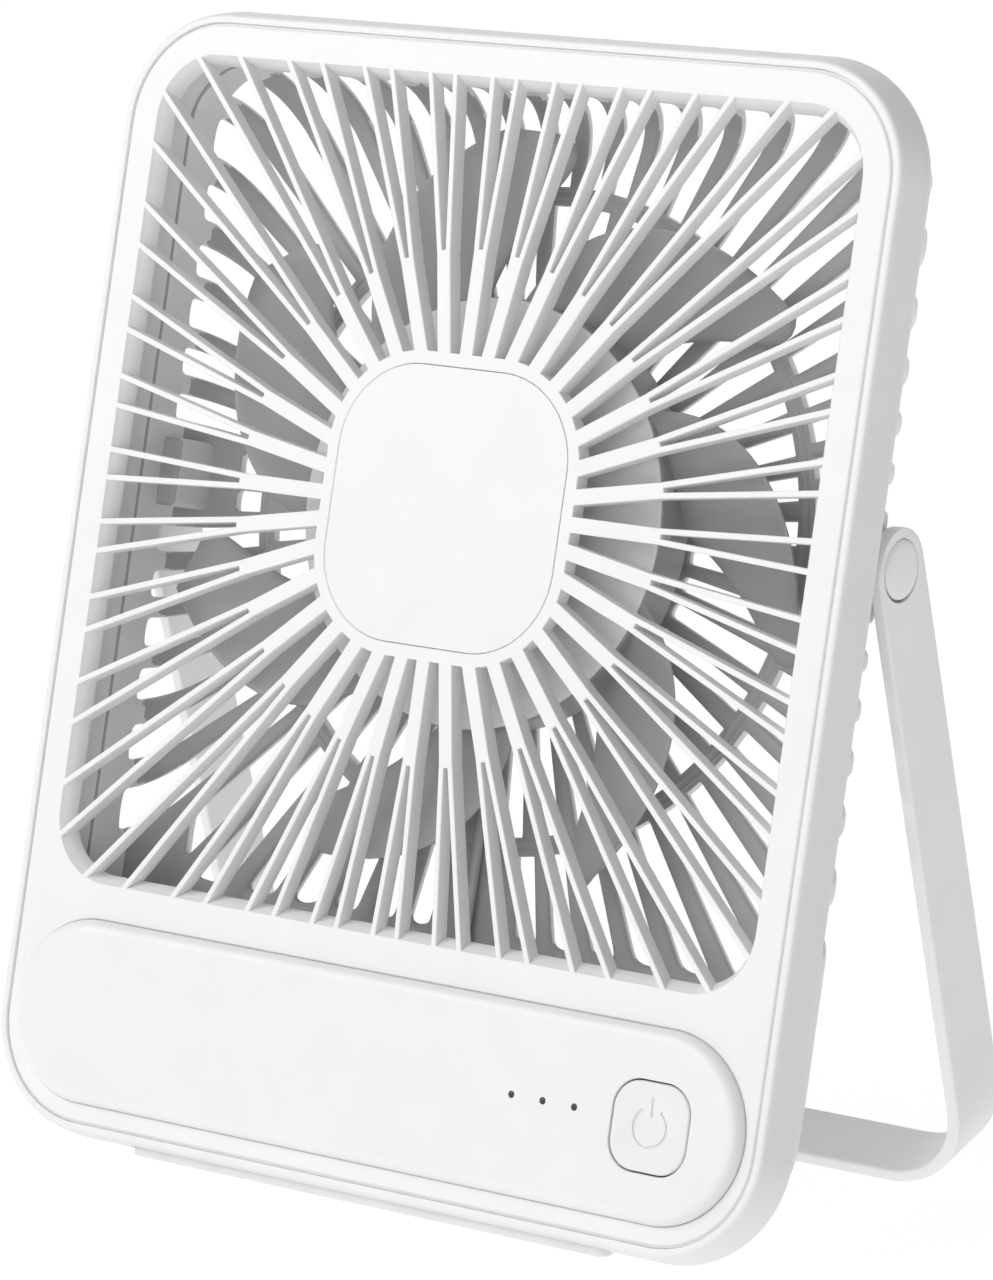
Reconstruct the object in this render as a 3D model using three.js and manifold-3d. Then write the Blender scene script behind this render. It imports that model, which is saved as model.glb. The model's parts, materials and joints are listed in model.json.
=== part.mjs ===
// Thin rechargeable desk fan with a fold-out strap stand. Millimetres, +Z up.
// The fan is laid out upright: X to the right, Y from the face to the back, Z up, with the
// middle of the front panel at the origin. At the end it leans back onto its stand and is
// moved so that the middle of its footprint is at the origin and the ground is Z = 0.
import * as THREE from "three";
import { mergeVertices } from "three/addons/utils/BufferGeometryUtils.js";
import Module from "manifold-3d";

const wasm = await Module();
wasm.setup();

// ---------- driving dimensions ----------
const GAP = 0.3; // clearance between pieces that meet

// casing outline, seen from the front
const CASE = { width: 149.5, height: 182.8, corner: 19.2 };
const RIM = 2.6; // width of the lip that shows round the front panel
const STEP_DEPTH = 8; // the wide front tray ends here
const STEP_INSET = 6.1; // how far the rear drum stands in from the tray
const DEPTH = 25; // face to rear
const DRUM_ROUND = 9.5; // rounding between drum side and rear
const WALL = 2;

// front panel and its grille
const PANEL = { thick: 3, inset: 2.95 };
const FAN_Z = 16.6; // height of the fan's axis above the panel's middle
const OPENING = { size: 133.8, corner: 10.7 };
const HUB_PLATE = { size: 47.8, corner: 16.5 };
const HUB_CAP = { size: 43.4, corner: 14, thick: 1.3 };
const STEM = { count: 36, width: 2.5, forkRadius: 40.3 };
const TINE = { width: 0.95, startOffset: 0.82, spread: 0.055 };

// raised control cover below the grille
const COVER = { width: 140, height: 29.4, z: -70.8, rise: 1.95, sink: 1.6 };
const BUTTON = { size: 13.6, corner: 4.5, skirt: 1.5, x: 54.3, z: -71, travel: 0.6 };
const LED = { x: [28.9, 34.7, 40.5], z: -70.2, dotRadius: 0.45, pipeRadius: 1.2 };

// rear grille: an inner and an outer ring of radial slots
const INNER_SLOTS = { count: 45, from: 31, to: 50.4, share: 0.5 };
const OUTER_SLOTS = { count: 60, from: 52.6, to: 104, share: 0.54, frontY: 15.5 };
const SLOT_FLOOR = FAN_Z - 64.8; // the slots stop here, above the battery bay
const CABLE_RIB_HALF_ANGLE = 4; // degrees left solid under the motor for its lead
const LUG = { halfHeight: 7, innerX: 62.3, frontY: 9, boreX: 64 };

// impeller
const IMPELLER = { blades: 7, hubRadius: 34, tipRadius: 60.5, frontY: 9.5, rearY: 17.4, thick: 1.5 };

// stand: a flat strap bent into a U, hinged on the drum's sides
const STRAP = { width: 12.8, thick: 2.2, outerX: 72, length: 106.4, bend: 15.2, bevel: 0.6 };
const PIVOT = { y: 18.7, z: FAN_Z + 0.1 };
const STAND_ANGLE = THREE.MathUtils.degToRad(29.55); // opened from the fan's own plane

// rubber foot let into the tray's underside
const FOOT = { halfLength: 46, frontY: 3.6, rearY: 7.2, proud: 0.6, sunk: 1.3 };

// battery bay
const CELL = { radius: 9.2, length: 65, x: -28.5, y: 13.1, z: -71 };
const BOARD = { x0: 12.2, x1: 61.5, z0: -80.5, z1: -57, y0: 14.2, y1: 15.8 };
const BAY_WALL = { z0: -54.4, z1: -52.6, frontY: 3.6 };
const USB = { x: 30, z: -73, width: 9, height: 3.3, wall: 0.35 };

// fasteners: places as X and Z
const SCREW_SPLIT_Y = 8.9; // the front panel's posts meet the rear cover's posts here
const COVER_SCREWS = [[-60, -57.6], [8.2, -79.4]];
const BOARD_SCREWS = [[16.5, -78], [57.5, -60.5]];

// ---------- materials ----------
const plastic = (color, roughness = 0.45) =>
  new THREE.MeshStandardMaterial({ color, roughness, metalness: 0 });
const metal = (color, roughness = 0.35) =>
  new THREE.MeshStandardMaterial({ color, roughness, metalness: 1 });
const WHITE_SATIN = plastic(0xf2f2f2);
const WHITE_INNER = plastic(0xe4e4e4, 0.5);
const LED_GREY = plastic(0x222222, 0.3);
const RUBBER = plastic(0xd8d8d8, 0.8);
const STEEL = metal(0xb8b8bc);
const BRASS = metal(0xc9a55a);
const MAGNET = plastic(0x3a3a3e, 0.6);
const COPPER = metal(0xb5693a, 0.4);
const BOARD_GREEN = plastic(0x1f6b42, 0.5);
const CELL_BLUE = plastic(0x3f78b5, 0.4);
const BLACK = plastic(0x1b1b1d, 0.5);
const RED = plastic(0xb3261e, 0.5);

// ---------- solid helpers ----------
function toSolid(geometry) {
  const plain = geometry.clone();
  for (const name of Object.keys(plain.attributes)) {
    if (name !== "position") plain.deleteAttribute(name);
  }
  const merged = mergeVertices(plain, 1e-4);
  const points = merged.attributes.position.array;
  const index = merged.index.array;
  const faces = [];
  for (let i = 0; i < index.length; i += 3) {
    const [a, b, c] = [index[i], index[i + 1], index[i + 2]];
    if (a !== b && b !== c && c !== a) faces.push(a, b, c);
  }
  if (signedVolume(points, faces) < 0) faces.reverse();
  const mesh = new wasm.Mesh({
    numProp: 3,
    vertProperties: Float32Array.from(points),
    triVerts: Uint32Array.from(faces),
  });
  return new wasm.Manifold(mesh);
}

function signedVolume(points, faces) {
  const [a, b, c] = [new THREE.Vector3(), new THREE.Vector3(), new THREE.Vector3()];
  let total = 0;
  for (let i = 0; i < faces.length; i += 3) {
    a.fromArray(points, faces[i] * 3);
    b.fromArray(points, faces[i + 1] * 3);
    c.fromArray(points, faces[i + 2] * 3);
    total += a.dot(b.cross(c)) / 6;
  }
  return total;
}

function toGeometry(solid) {
  const mesh = solid.getMesh();
  const geometry = new THREE.BufferGeometry();
  geometry.setAttribute("position", new THREE.Float32BufferAttribute(mesh.vertProperties, 3));
  geometry.setIndex(new THREE.Uint32BufferAttribute(mesh.triVerts, 1));
  geometry.computeVertexNormals();
  return geometry;
}

const joined = (solids) => solids.reduce((sum, next) => sum.add(next));

// ---------- shape helpers ----------
// A rectangle with round corners, drawn as X across and Z up.
function roundedRect(width, height, radius, centreX = 0, centreZ = 0) {
  const [w, h] = [width / 2 - radius, height / 2 - radius];
  const shape = new THREE.Shape();
  shape.absarc(centreX + w, centreZ + h, radius, 0, Math.PI / 2);
  shape.absarc(centreX - w, centreZ + h, radius, Math.PI / 2, Math.PI);
  shape.absarc(centreX - w, centreZ - h, radius, Math.PI, Math.PI * 1.5);
  shape.absarc(centreX + w, centreZ - h, radius, Math.PI * 1.5, Math.PI * 2);
  shape.closePath();
  return shape;
}

function polygon(points) {
  return new THREE.Shape(points.map(([x, z]) => new THREE.Vector2(x, z)));
}

// A flat piece drawn in X and Z, filling the depth from y0 to y1.
function slab(shape, y0, y1, curveSegments = 5) {
  const options = { depth: y1 - y0, bevelEnabled: false, curveSegments };
  const geometry = new THREE.ExtrudeGeometry(shape, options);
  return toSolid(geometry.rotateX(Math.PI / 2).translate(0, y1, 0));
}

function block(x0, x1, y0, y1, z0, z1) {
  const geometry = new THREE.BoxGeometry(x1 - x0, y1 - y0, z1 - z0);
  return toSolid(geometry.translate((x0 + x1) / 2, (y0 + y1) / 2, (z0 + z1) / 2));
}

// A turned piece round an axis along Y: pairs of radius and Y, closed or ending on the axis.
function turnedAlongY(pairs, centreX, centreZ, segments = 24) {
  const points = pairs.map(([radius, y]) => new THREE.Vector2(radius, y));
  return toSolid(new THREE.LatheGeometry(points, segments).translate(centreX, 0, centreZ));
}

// A turned piece round an axis along X.
function turnedAlongX(pairs, centreY, centreZ, segments = 20) {
  const points = pairs.map(([radius, x]) => new THREE.Vector2(radius, x));
  const geometry = new THREE.LatheGeometry(points, segments).rotateZ(-Math.PI / 2);
  return toSolid(geometry.translate(0, centreY, centreZ));
}

// The same profile for the right side (1) or mirrored for the left side (-1).
const sided = (side, profile) => profile.map(([radius, x]) => [radius, side * x]);

const rod = (radius, from, to) => [[0, from], [radius, from], [radius, to], [0, to]];
const ring = (inner, outer, from, to) =>
  [[inner, from], [outer, from], [outer, to], [inner, to], [inner, from]];

// The casing outline, drawn in by an inset, as a loop of points at depth y.
function caseLoop(inset, y, cornerSteps = 5) {
  const radius = CASE.corner - inset;
  const [w, h] = [CASE.width / 2 - CASE.corner, CASE.height / 2 - CASE.corner];
  const corners = [[w, h], [-w, h], [-w, -h], [w, -h]];
  const loop = [];
  corners.forEach(([x, z], quarter) => {
    for (let step = 0; step <= cornerSteps; step += 1) {
      const angle = (quarter + step / cornerSteps) * (Math.PI / 2);
      loop.push([x + radius * Math.cos(angle), y, z + radius * Math.sin(angle)]);
    }
  });
  return loop;
}

// A skin through loops of equal length; both ends are capped, or the last joins the first.
function loft(loops, closed = false) {
  const count = loops[0].length;
  const faces = [];
  const last = closed ? loops.length : loops.length - 1;
  for (let row = 0; row < last; row += 1) {
    const [here, next] = [row * count, ((row + 1) % loops.length) * count];
    for (let i = 0; i < count; i += 1) {
      const j = (i + 1) % count;
      faces.push(here + i, here + j, next + j, here + i, next + j, next + i);
    }
  }
  if (!closed) {
    const end = (loops.length - 1) * count;
    for (let i = 1; i < count - 1; i += 1) {
      faces.push(0, i + 1, i, end, end + i, end + i + 1);
    }
  }
  const geometry = new THREE.BufferGeometry();
  geometry.setAttribute("position", new THREE.Float32BufferAttribute(loops.flat(2), 3));
  geometry.setIndex(faces);
  return toSolid(geometry);
}

// A round lead along a smooth path.
function lead(points, radius) {
  const path = new THREE.CatmullRomCurve3(points.map((p) => new THREE.Vector3(...p)));
  const section = new THREE.Shape().absarc(0, 0, radius, 0, Math.PI * 2);
  const options = { steps: 16, curveSegments: 3, extrudePath: path, bevelEnabled: false };
  return toSolid(new THREE.ExtrudeGeometry(section, options));
}

// ---------- the assembly ----------
const product = new THREE.Group(); // leans back as a whole
const standGroup = new THREE.Group(); // turns on the stand's pivots
product.add(standGroup);

function piece(name, solid, material, parent = product) {
  const mesh = new THREE.Mesh(toGeometry(solid), material);
  mesh.name = name;
  parent.add(mesh);
  return mesh;
}

// ---------- front panel ----------
// Gap between two neighbouring stems: it widens past the fork, where the tines take over.
function gapBetweenStems(middleAngle) {
  const half = Math.PI / STEM.count;
  const side = (sign) => {
    const stemAngle = middleAngle + sign * half;
    const along = [Math.cos(stemAngle), Math.sin(stemAngle)];
    const across = [sign * along[1], -sign * along[0]];
    const at = (radius, offset) =>
      [radius * along[0] + offset * across[0], radius * along[1] + offset * across[1]];
    const tineSide = (radius) =>
      TINE.startOffset + (radius - STEM.forkRadius) * TINE.spread + TINE.width / 2;
    const reach = OPENING.size;
    return [at(18, STEM.width / 2), at(STEM.forkRadius, STEM.width / 2), at(reach, tineSide(reach))];
  };
  return polygon([...side(-1), ...side(1).reverse()]);
}

// Narrow gap inside a fork, between its two tines.
function gapInsideFork(stemAngle) {
  const half = (radius) =>
    TINE.startOffset + (radius - STEM.forkRadius) * TINE.spread - TINE.width / 2;
  const reach = OPENING.size;
  const corners = [[STEM.forkRadius, -1], [reach, -1], [reach, 1], [STEM.forkRadius, 1]];
  return polygon(corners.map(([radius, sign]) => {
    const offset = sign * half(radius);
    return [
      radius * Math.cos(stemAngle) - offset * Math.sin(stemAngle),
      radius * Math.sin(stemAngle) + offset * Math.cos(stemAngle),
    ];
  }));
}

function frontPanel() {
  const width = CASE.width - 2 * PANEL.inset;
  const height = CASE.height - 2 * PANEL.inset;
  const plate = slab(roundedRect(width, height, CASE.corner - PANEL.inset), 0, PANEL.thick);
  const gaps = [];
  for (let i = 0; i < STEM.count; i += 1) {
    const stemAngle = (i / STEM.count) * Math.PI * 2;
    for (const shape of [gapBetweenStems(stemAngle + Math.PI / STEM.count), gapInsideFork(stemAngle)]) {
      gaps.push(slab(shape, -1, PANEL.thick + 1).translate([0, 0, FAN_Z]));
    }
  }
  const opening = roundedRect(OPENING.size, OPENING.size, OPENING.corner, 0, FAN_Z);
  const hub = roundedRect(HUB_PLATE.size, HUB_PLATE.size, HUB_PLATE.corner, 0, FAN_Z);
  const grille = joined(gaps)
    .intersect(slab(opening, -2, PANEL.thick + 2))
    .subtract(slab(hub, -2, PANEL.thick + 2));
  const capSize = HUB_CAP.size + 2 * GAP;
  const capSeat = roundedRect(capSize, capSize, HUB_CAP.corner + GAP, 0, FAN_Z);
  const coverHole = coverOutline(GAP);
  const buttonHole = BUTTON.size + 2 * BUTTON.skirt + 2 * GAP;
  const buttonShape = roundedRect(buttonHole, buttonHole, BUTTON.corner + BUTTON.skirt, BUTTON.x, BUTTON.z);
  const ledHoles = LED.x.map((x) => turnedAlongY(rod(LED.pipeRadius + GAP, 0, 5), x, LED.z, 12));
  const posts = COVER_SCREWS.map(([x, z]) =>
    turnedAlongY(ring(1.5, 3.2, PANEL.thick - 0.5, SCREW_SPLIT_Y - GAP), x, z, 16));
  return joined([plate, ...posts])
    .subtract(grille)
    .subtract(slab(capSeat, -1, HUB_CAP.thick + GAP))
    .subtract(slab(coverHole, -1, COVER.sink + GAP))
    .subtract(slab(buttonShape, 0, PANEL.thick + 1))
    .subtract(joined(ledHoles));
}

function coverOutline(grow) {
  const height = COVER.height + 2 * grow;
  return roundedRect(COVER.width + 2 * grow, height, height / 2 - 0.01, 0, COVER.z);
}

// ---------- control cover ----------
// The raised edge is a quarter round, made from a few outlines stepping in and forward.
function controlCover() {
  const steps = 4;
  const layers = [slab(coverOutline(0), 0, COVER.sink, 7)];
  for (let i = 1; i <= steps; i += 1) {
    const angle = (i / steps) * (Math.PI / 2);
    const before = ((i - 1) / steps) * (Math.PI / 2);
    const inset = COVER.rise * (1 - Math.cos((angle + before) / 2));
    const front = -COVER.rise * Math.sin(angle);
    layers.push(slab(coverOutline(-inset), front, 0.2, 7));
  }
  const buttonHole = BUTTON.size + 2 * GAP;
  let cover = joined(layers).subtract(
    slab(roundedRect(buttonHole, buttonHole, BUTTON.corner + GAP, BUTTON.x, BUTTON.z), -5, 5),
  );
  for (const x of LED.x) {
    cover = cover.subtract(turnedAlongY(rod(LED.dotRadius + GAP, -5, 5), x, LED.z, 12));
  }
  return cover;
}

function powerButton() {
  const face = roundedRect(BUTTON.size, BUTTON.size, BUTTON.corner, BUTTON.x, BUTTON.z);
  const wide = BUTTON.size + 2 * BUTTON.skirt;
  const skirt = roundedRect(wide, wide, BUTTON.corner + BUTTON.skirt, BUTTON.x, BUTTON.z);
  return slab(face, -COVER.rise, 3.2)
    .add(slab(skirt, COVER.sink + BUTTON.travel + GAP, 3.6))
    .add(turnedAlongY(rod(2.2, 3, 8.3), BUTTON.x, BUTTON.z, 16));
}

// Clear pin from the cover's face back to the lamp on the board.
function ledWindow(x) {
  const profile = [
    [0, -COVER.rise], [LED.dotRadius, -COVER.rise], [LED.dotRadius, 3.6],
    [LED.pipeRadius, 3.6], [LED.pipeRadius, BOARD.y0 - 1.8], [0, BOARD.y0 - 1.8],
  ];
  return turnedAlongY(profile, x, LED.z, 12);
}

// ---------- tray and rear drum ----------
function midFrame() {
  const section = [
    [RIM, 0], [1.75, 0], [1.2, 0.35], [0.9, 1.1], [0.3, 3.6], [0, 6], [0.35, 7.2], [1.3, STEP_DEPTH],
    [STEP_INSET + WALL, STEP_DEPTH], [STEP_INSET + WALL, PANEL.thick + GAP],
    [6.5, PANEL.thick + GAP], [6.5, 6], [RIM, 6],
  ];
  const footSeat = block(
    -FOOT.halfLength - GAP, FOOT.halfLength + GAP, FOOT.frontY - GAP, FOOT.rearY + GAP,
    -CASE.height, -CASE.height / 2 + FOOT.sunk + GAP,
  );
  const frame = loft(section.map(([inset, y]) => caseLoop(inset, y)), true).subtract(footSeat);
  return frame;
}

// Outline of a slot: a wedge that widens with its distance from the fan's axis.
function slotWedge(angle, slots) {
  const half = (slots.share * Math.PI) / slots.count;
  const corner = (radius, turn) => [radius * Math.cos(angle + turn), radius * Math.sin(angle + turn)];
  return polygon([
    corner(slots.from, -half), corner(slots.to, -half), corner(slots.to, half), corner(slots.from, half),
  ]);
}

function slotRing(slots, frontY) {
  const wedges = [];
  for (let i = 0; i < slots.count; i += 1) {
    const turn = ((i + 0.5) / slots.count) * 360;
    if (Math.abs(turn - 270) > CABLE_RIB_HALF_ANGLE) {
      const shape = slotWedge(THREE.MathUtils.degToRad(turn), slots);
      wedges.push(slab(shape, frontY, DEPTH + 5).translate([0, 0, FAN_Z]));
    }
  }
  return joined(wedges);
}

function drumLoops(skin) {
  const radius = DRUM_ROUND - skin;
  const centreInset = STEP_INSET + DRUM_ROUND;
  const centreY = DEPTH - DRUM_ROUND;
  const loops = [caseLoop(STEP_INSET + skin, STEP_DEPTH + GAP)];
  const steps = 4;
  for (let step = 0; step <= steps; step += 1) {
    const angle = (step / steps) * (Math.PI / 2);
    loops.push(caseLoop(centreInset - radius * Math.cos(angle), centreY + radius * Math.sin(angle)));
  }
  return loops;
}

function rearCover() {
  let shell = loft([...drumLoops(WALL).reverse(), ...drumLoops(0)]);
  const pivotZ = PIVOT.z;
  const wallX = CASE.width / 2 - STEP_INSET;
  const solidBand = (side) => {
    const [near, far] = [side * 50, side * 90].sort((a, b) => a - b);
    return block(near, far, 0, 40, pivotZ - LUG.halfHeight - 3, pivotZ + LUG.halfHeight + 3);
  };
  const slots = slotRing(OUTER_SLOTS, OUTER_SLOTS.frontY)
    .intersect(block(-90, 90, 0, 40, SLOT_FLOOR, 120))
    .subtract(solidBand(1))
    .subtract(solidBand(-1))
    .add(slotRing(INNER_SLOTS, DEPTH - WALL - 2));
  shell = shell.subtract(slots);
  for (const side of [-1, 1]) {
    const [near, far] = [side * LUG.innerX, side * wallX].sort((a, b) => a - b);
    shell = shell.add(block(near, far, LUG.frontY, DEPTH, pivotZ - LUG.halfHeight, pivotZ + LUG.halfHeight));
    shell = shell.subtract(turnedAlongX(sided(side, rod(2.3, LUG.boreX, 80)), PIVOT.y, pivotZ));
  }
  const bayWall = block(-66, 66, BAY_WALL.frontY, DEPTH - 1, BAY_WALL.z0, BAY_WALL.z1);
  shell = shell.add(bayWall.subtract(block(-4, 4, 18, 23.5, -60, -50)));
  for (const [x, z] of COVER_SCREWS) {
    shell = shell.add(turnedAlongY(rod(3.6, SCREW_SPLIT_Y, DEPTH - 1), x, z, 16));
    shell = shell.subtract(turnedAlongY(rod(1.6, 0, 40), x, z, 16));
    shell = shell.subtract(turnedAlongY(rod(2.6, DEPTH - 1.9, 40), x, z, 16));
  }
  for (const [x, z] of BOARD_SCREWS) {
    shell = shell.add(turnedAlongY(rod(2.6, BOARD.y1 + GAP, DEPTH - 1), x, z, 16));
    shell = shell.subtract(turnedAlongY(rod(1.1, 0, 20), x, z, 12));
  }
  for (const [x, z] of motorScrewPlaces()) {
    shell = shell.subtract(turnedAlongY(rod(1.2, 20, DEPTH - 0.4), x, z, 12));
  }
  const usbHole = roundedRect(USB.width + 2 * GAP, USB.height + 2 * GAP, USB.height / 2, USB.x, USB.z);
  return shell.subtract(slab(usbHole, 20, 40));
}

// ---------- impeller and motor ----------
// Front and rear edges of a blade, as angles in degrees at a distance from the axis. The
// front edge sweeps back with the radius, faster towards the tip.
function bladeFrontAngle(radius) {
  const out = (radius - IMPELLER.hubRadius) / (IMPELLER.tipRadius - IMPELLER.hubRadius);
  return 34 - 22 * out - 20 * out ** 3;
}

function bladeRearAngle(radius) {
  const out = (radius - IMPELLER.hubRadius) / (IMPELLER.tipRadius - IMPELLER.hubRadius);
  return 2 - 24.6 * out + 8 * out ** 9;
}

function blade() {
  const [spanSteps, chordSteps] = [8, 4];
  const root = IMPELLER.hubRadius - 1;
  const loops = [];
  for (let i = 0; i <= spanSteps; i += 1) {
    const radius = root + ((IMPELLER.tipRadius - root) * i) / spanSteps;
    const [front, rear] = [bladeFrontAngle(radius), bladeRearAngle(radius)];
    const faceSide = [];
    const backSide = [];
    for (let j = 0; j <= chordSteps; j += 1) {
      const t = j / chordSteps;
      const angle = THREE.MathUtils.degToRad(front + (rear - front) * t);
      const y = IMPELLER.frontY + 0.6 + (IMPELLER.rearY - IMPELLER.frontY - 1.5) * t;
      const half = (IMPELLER.thick / 2) * (0.55 + 0.45 * Math.sin(Math.PI * t));
      const [x, z] = [radius * Math.cos(angle), radius * Math.sin(angle)];
      faceSide.push([x, y - half, z]);
      backSide.push([x, y + half, z]);
    }
    loops.push([...faceSide, ...backSide.reverse()]);
  }
  return loft(loops);
}

function impeller() {
  const R = IMPELLER.hubRadius;
  const [front, rear] = [IMPELLER.frontY, IMPELLER.rearY];
  const cup = turnedAlongY([
    [0, front], [R - 3, front], [R - 0.9, front + 0.8], [R, front + 2.4], [R, rear],
    [R - 1.6, rear], [R - 1.6, front + 2], [0, front + 2],
  ], 0, 0, 40);
  const boss = turnedAlongY(ring(14.6, 16.2, front + 1, rear - 1), 0, 0, 32);
  const one = blade().subtract(turnedAlongY(rod(R - 0.8, 0, 40), 0, 0, 40));
  const blades = [];
  for (let i = 0; i < IMPELLER.blades; i += 1) {
    blades.push(one.rotate([0, (-360 / IMPELLER.blades) * i, 0]));
  }
  return joined([cup, boss, ...blades]).translate([0, 0, FAN_Z]);
}

function rotorCup() {
  return turnedAlongY([
    [1.8, 11.9], [13.4, 11.9], [14.2, 12.7], [14.2, 19.4], [13.4, 19.4], [13.4, 12.8], [1.8, 12.8],
    [1.8, 11.9],
  ], 0, FAN_Z, 32);
}

function stator() {
  const body = turnedAlongY(ring(4.6, 6.8, 13.6, 18.4), 0, FAN_Z, 24);
  const poles = [];
  for (let i = 0; i < 6; i += 1) {
    const angle = (i / 6) * 360;
    const arm = block(6, 9.2, 13.6, 18.4, -1.8, 1.8);
    const shoe = block(9, 10.4, 14.2, 17.8, -3.2, 3.2);
    poles.push(arm.add(shoe).rotate([0, angle, 0]).translate([0, 0, FAN_Z]));
  }
  return joined([body, ...poles]);
}

function motorBase() {
  let base = turnedAlongY([
    [0, 22.7], [16, 22.7], [16, 21.3], [6.5, 21.3], [4.3, 19.5], [4.3, 13.5], [3.4, 13.5],
    [3.4, 20.4], [0, 20.4],
  ], 0, FAN_Z, 24);
  for (const [x, z] of motorScrewPlaces()) {
    base = base.subtract(turnedAlongY(rod(1.3, 15, 30), x, z, 12));
  }
  return base;
}

function motorScrewPlaces() {
  return [90, 210, 330].map((degrees) => {
    const angle = THREE.MathUtils.degToRad(degrees);
    return [12 * Math.cos(angle), FAN_Z + 12 * Math.sin(angle)];
  });
}

// A countersunk-look screw along Y: the head at headY, the tip further forward or back.
function screw(x, z, headY, tipY, shankRadius, headRadius) {
  const inward = Math.sign(tipY - headY);
  const neck = headY + inward * 0.9;
  return turnedAlongY([[0, headY], [headRadius, headY], [shankRadius, neck], [shankRadius, tipY], [0, tipY]], x, z, 12);
}

// ---------- stand ----------
// Drawn folded flat: pivot at the origin, arms hanging down along -Z, width along Y.
function strapU() {
  const { outerX, thick, length, bend, bevel, width } = STRAP;
  const outline = (x, drop, radius, top) => {
    const shape = new THREE.Shape();
    shape.moveTo(x, top);
    shape.lineTo(-x, top);
    shape.lineTo(-x, -drop + radius);
    shape.absarc(-x + radius, -drop + radius, radius, Math.PI, Math.PI * 1.5);
    shape.absarc(x - radius, -drop + radius, radius, Math.PI * 1.5, Math.PI * 2);
    shape.lineTo(x, top);
    return shape;
  };
  const layer = (inset, y0, y1) => slab(outline(outerX - inset, length - inset, bend - inset, 12), y0, y1, 6)
    .subtract(slab(outline(outerX - thick + inset, length - thick + inset, bend - thick + inset, 14), y0 - 1, y1 + 1, 6));
  const half = width / 2;
  return joined([
    layer(bevel, -half, half),
    layer(0, -half + bevel, half - bevel),
  ]);
}

function stand() {
  const half = STRAP.width / 2;
  const sideShape = new THREE.Shape(); // drawn as Y across and Z up
  sideShape.absarc(0, 0, half, 0, Math.PI);
  sideShape.lineTo(-half, -STRAP.length - 5);
  sideShape.lineTo(half, -STRAP.length - 5);
  sideShape.closePath();
  const sides = new THREE.ExtrudeGeometry(sideShape, { depth: 200, bevelEnabled: false, curveSegments: 12 });
  const sideSolid = toSolid(sides.rotateX(Math.PI / 2).rotateZ(Math.PI / 2).translate(-100, 0, 0));
  let strap = strapU().intersect(sideSolid);
  for (const side of [-1, 1]) {
    strap = strap.subtract(turnedAlongX(sided(side, rod(2.3, 60, 80)), 0, 0));
    strap = strap.subtract(turnedAlongX(sided(side, rod(4.9, STRAP.outerX - 1.4, 80)), 0, 0, 28));
  }
  return strap;
}

// ---------- battery, board and leads ----------
function batteryCell() {
  const { radius, length, x, y, z } = CELL;
  const [start, end] = [x - length / 2, x + length / 2];
  return turnedAlongX([
    [0, start], [radius - 0.4, start], [radius, start + 0.5], [radius, end - 1.5],
    [radius - 0.6, end - 1], [radius - 0.6, end], [3, end], [3, end + 1], [0, end + 1],
  ], y, z, 28);
}

// Two saddles under the cell, fixed to the bay's floor.
function batteryCradle() {
  const { radius, length, x, y, z } = CELL;
  const hollow = turnedAlongX(rod(radius + GAP, x - length, x + length), y, z, 28);
  const saddle = (middle) => block(middle - 3, middle + 3, 14, DEPTH - WALL - GAP, z - 6.2, z + 10.6);
  const spine = block(x - 22, x + 22, 20.6, DEPTH - WALL - GAP, z + 7.4, z + 10.6);
  return joined([saddle(x - 20), saddle(x + 20), spine]).subtract(hollow);
}

function controlBoard() {
  let board = block(BOARD.x0, BOARD.x1, BOARD.y0, BOARD.y1, BOARD.z0, BOARD.z1);
  for (const [x, z] of BOARD_SCREWS) {
    board = board.subtract(turnedAlongY(rod(1.1, 10, 20), x, z, 12));
  }
  return board;
}

function buttonSwitch() {
  const front = BOARD.y0 - GAP - 3.4;
  return block(BUTTON.x - 3, BUTTON.x + 3, front, BOARD.y0 - GAP, BUTTON.z - 3, BUTTON.z + 3)
    .subtract(turnedAlongY(rod(2, front - 1, front + 1.8), BUTTON.x, BUTTON.z, 16));
}

// Oval metal tube standing on the board, open at the back of the fan.
function usbSocket() {
  const oval = (grow) => roundedRect(
    USB.width + 2 * grow, USB.height + 2 * grow, (USB.height + 2 * grow) / 2 - 0.01, USB.x, USB.z,
  );
  const front = BOARD.y1 + GAP;
  return slab(oval(0), front, DEPTH - 0.4, 3).subtract(slab(oval(-USB.wall), front + 0.8, DEPTH + 1, 3));
}

// From the motor down the solid rib, through the notch in the bay wall, to the board.
function motorLead() {
  return lead([
    [0, 21.9, FAN_Z - 17], [0, 21.9, -12], [0, 21.9, -42], [0, 21.4, BAY_WALL.z0 + 1],
    [2, 20.6, -57.6], [8, 18.4, -60], [15, 17.1, -60.5],
  ], 0.8);
}

// One lead leaves the near end of the cell, the other runs in front of it from the far end.
const RED_LEAD = [[5.5, 12.6, -70], [8, 12.2, -68.6], [11, 12.4, -67.6], [15.5, 13.1, -67.5]];
const BLACK_LEAD = [
  [-61.6, 10, -69], [-63.6, 9, -67.2], [-62.6, 6.2, -64.6], [-57, 5.2, -63.5], [-30, 5.2, -63.5],
  [2, 5.2, -63.5], [9, 9, -63.5], [15.5, 13.1, -63.5],
];

// ---------- foot and lean ----------
function groundPoints() {
  const side = -(STRAP.width / 2 - STRAP.bevel);
  const strap = [
    PIVOT.y + STRAP.length * Math.sin(STAND_ANGLE) + side * Math.cos(STAND_ANGLE),
    PIVOT.z - STRAP.length * Math.cos(STAND_ANGLE) + side * Math.sin(STAND_ANGLE),
  ];
  const foot = [(FOOT.frontY + FOOT.rearY) / 2, -CASE.height / 2 - FOOT.proud];
  return { strap, foot };
}

function leanAngle() {
  const { strap, foot } = groundPoints();
  return Math.atan2(strap[1] - foot[1], strap[0] - foot[0]);
}

const LEAN = leanAngle();

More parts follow.
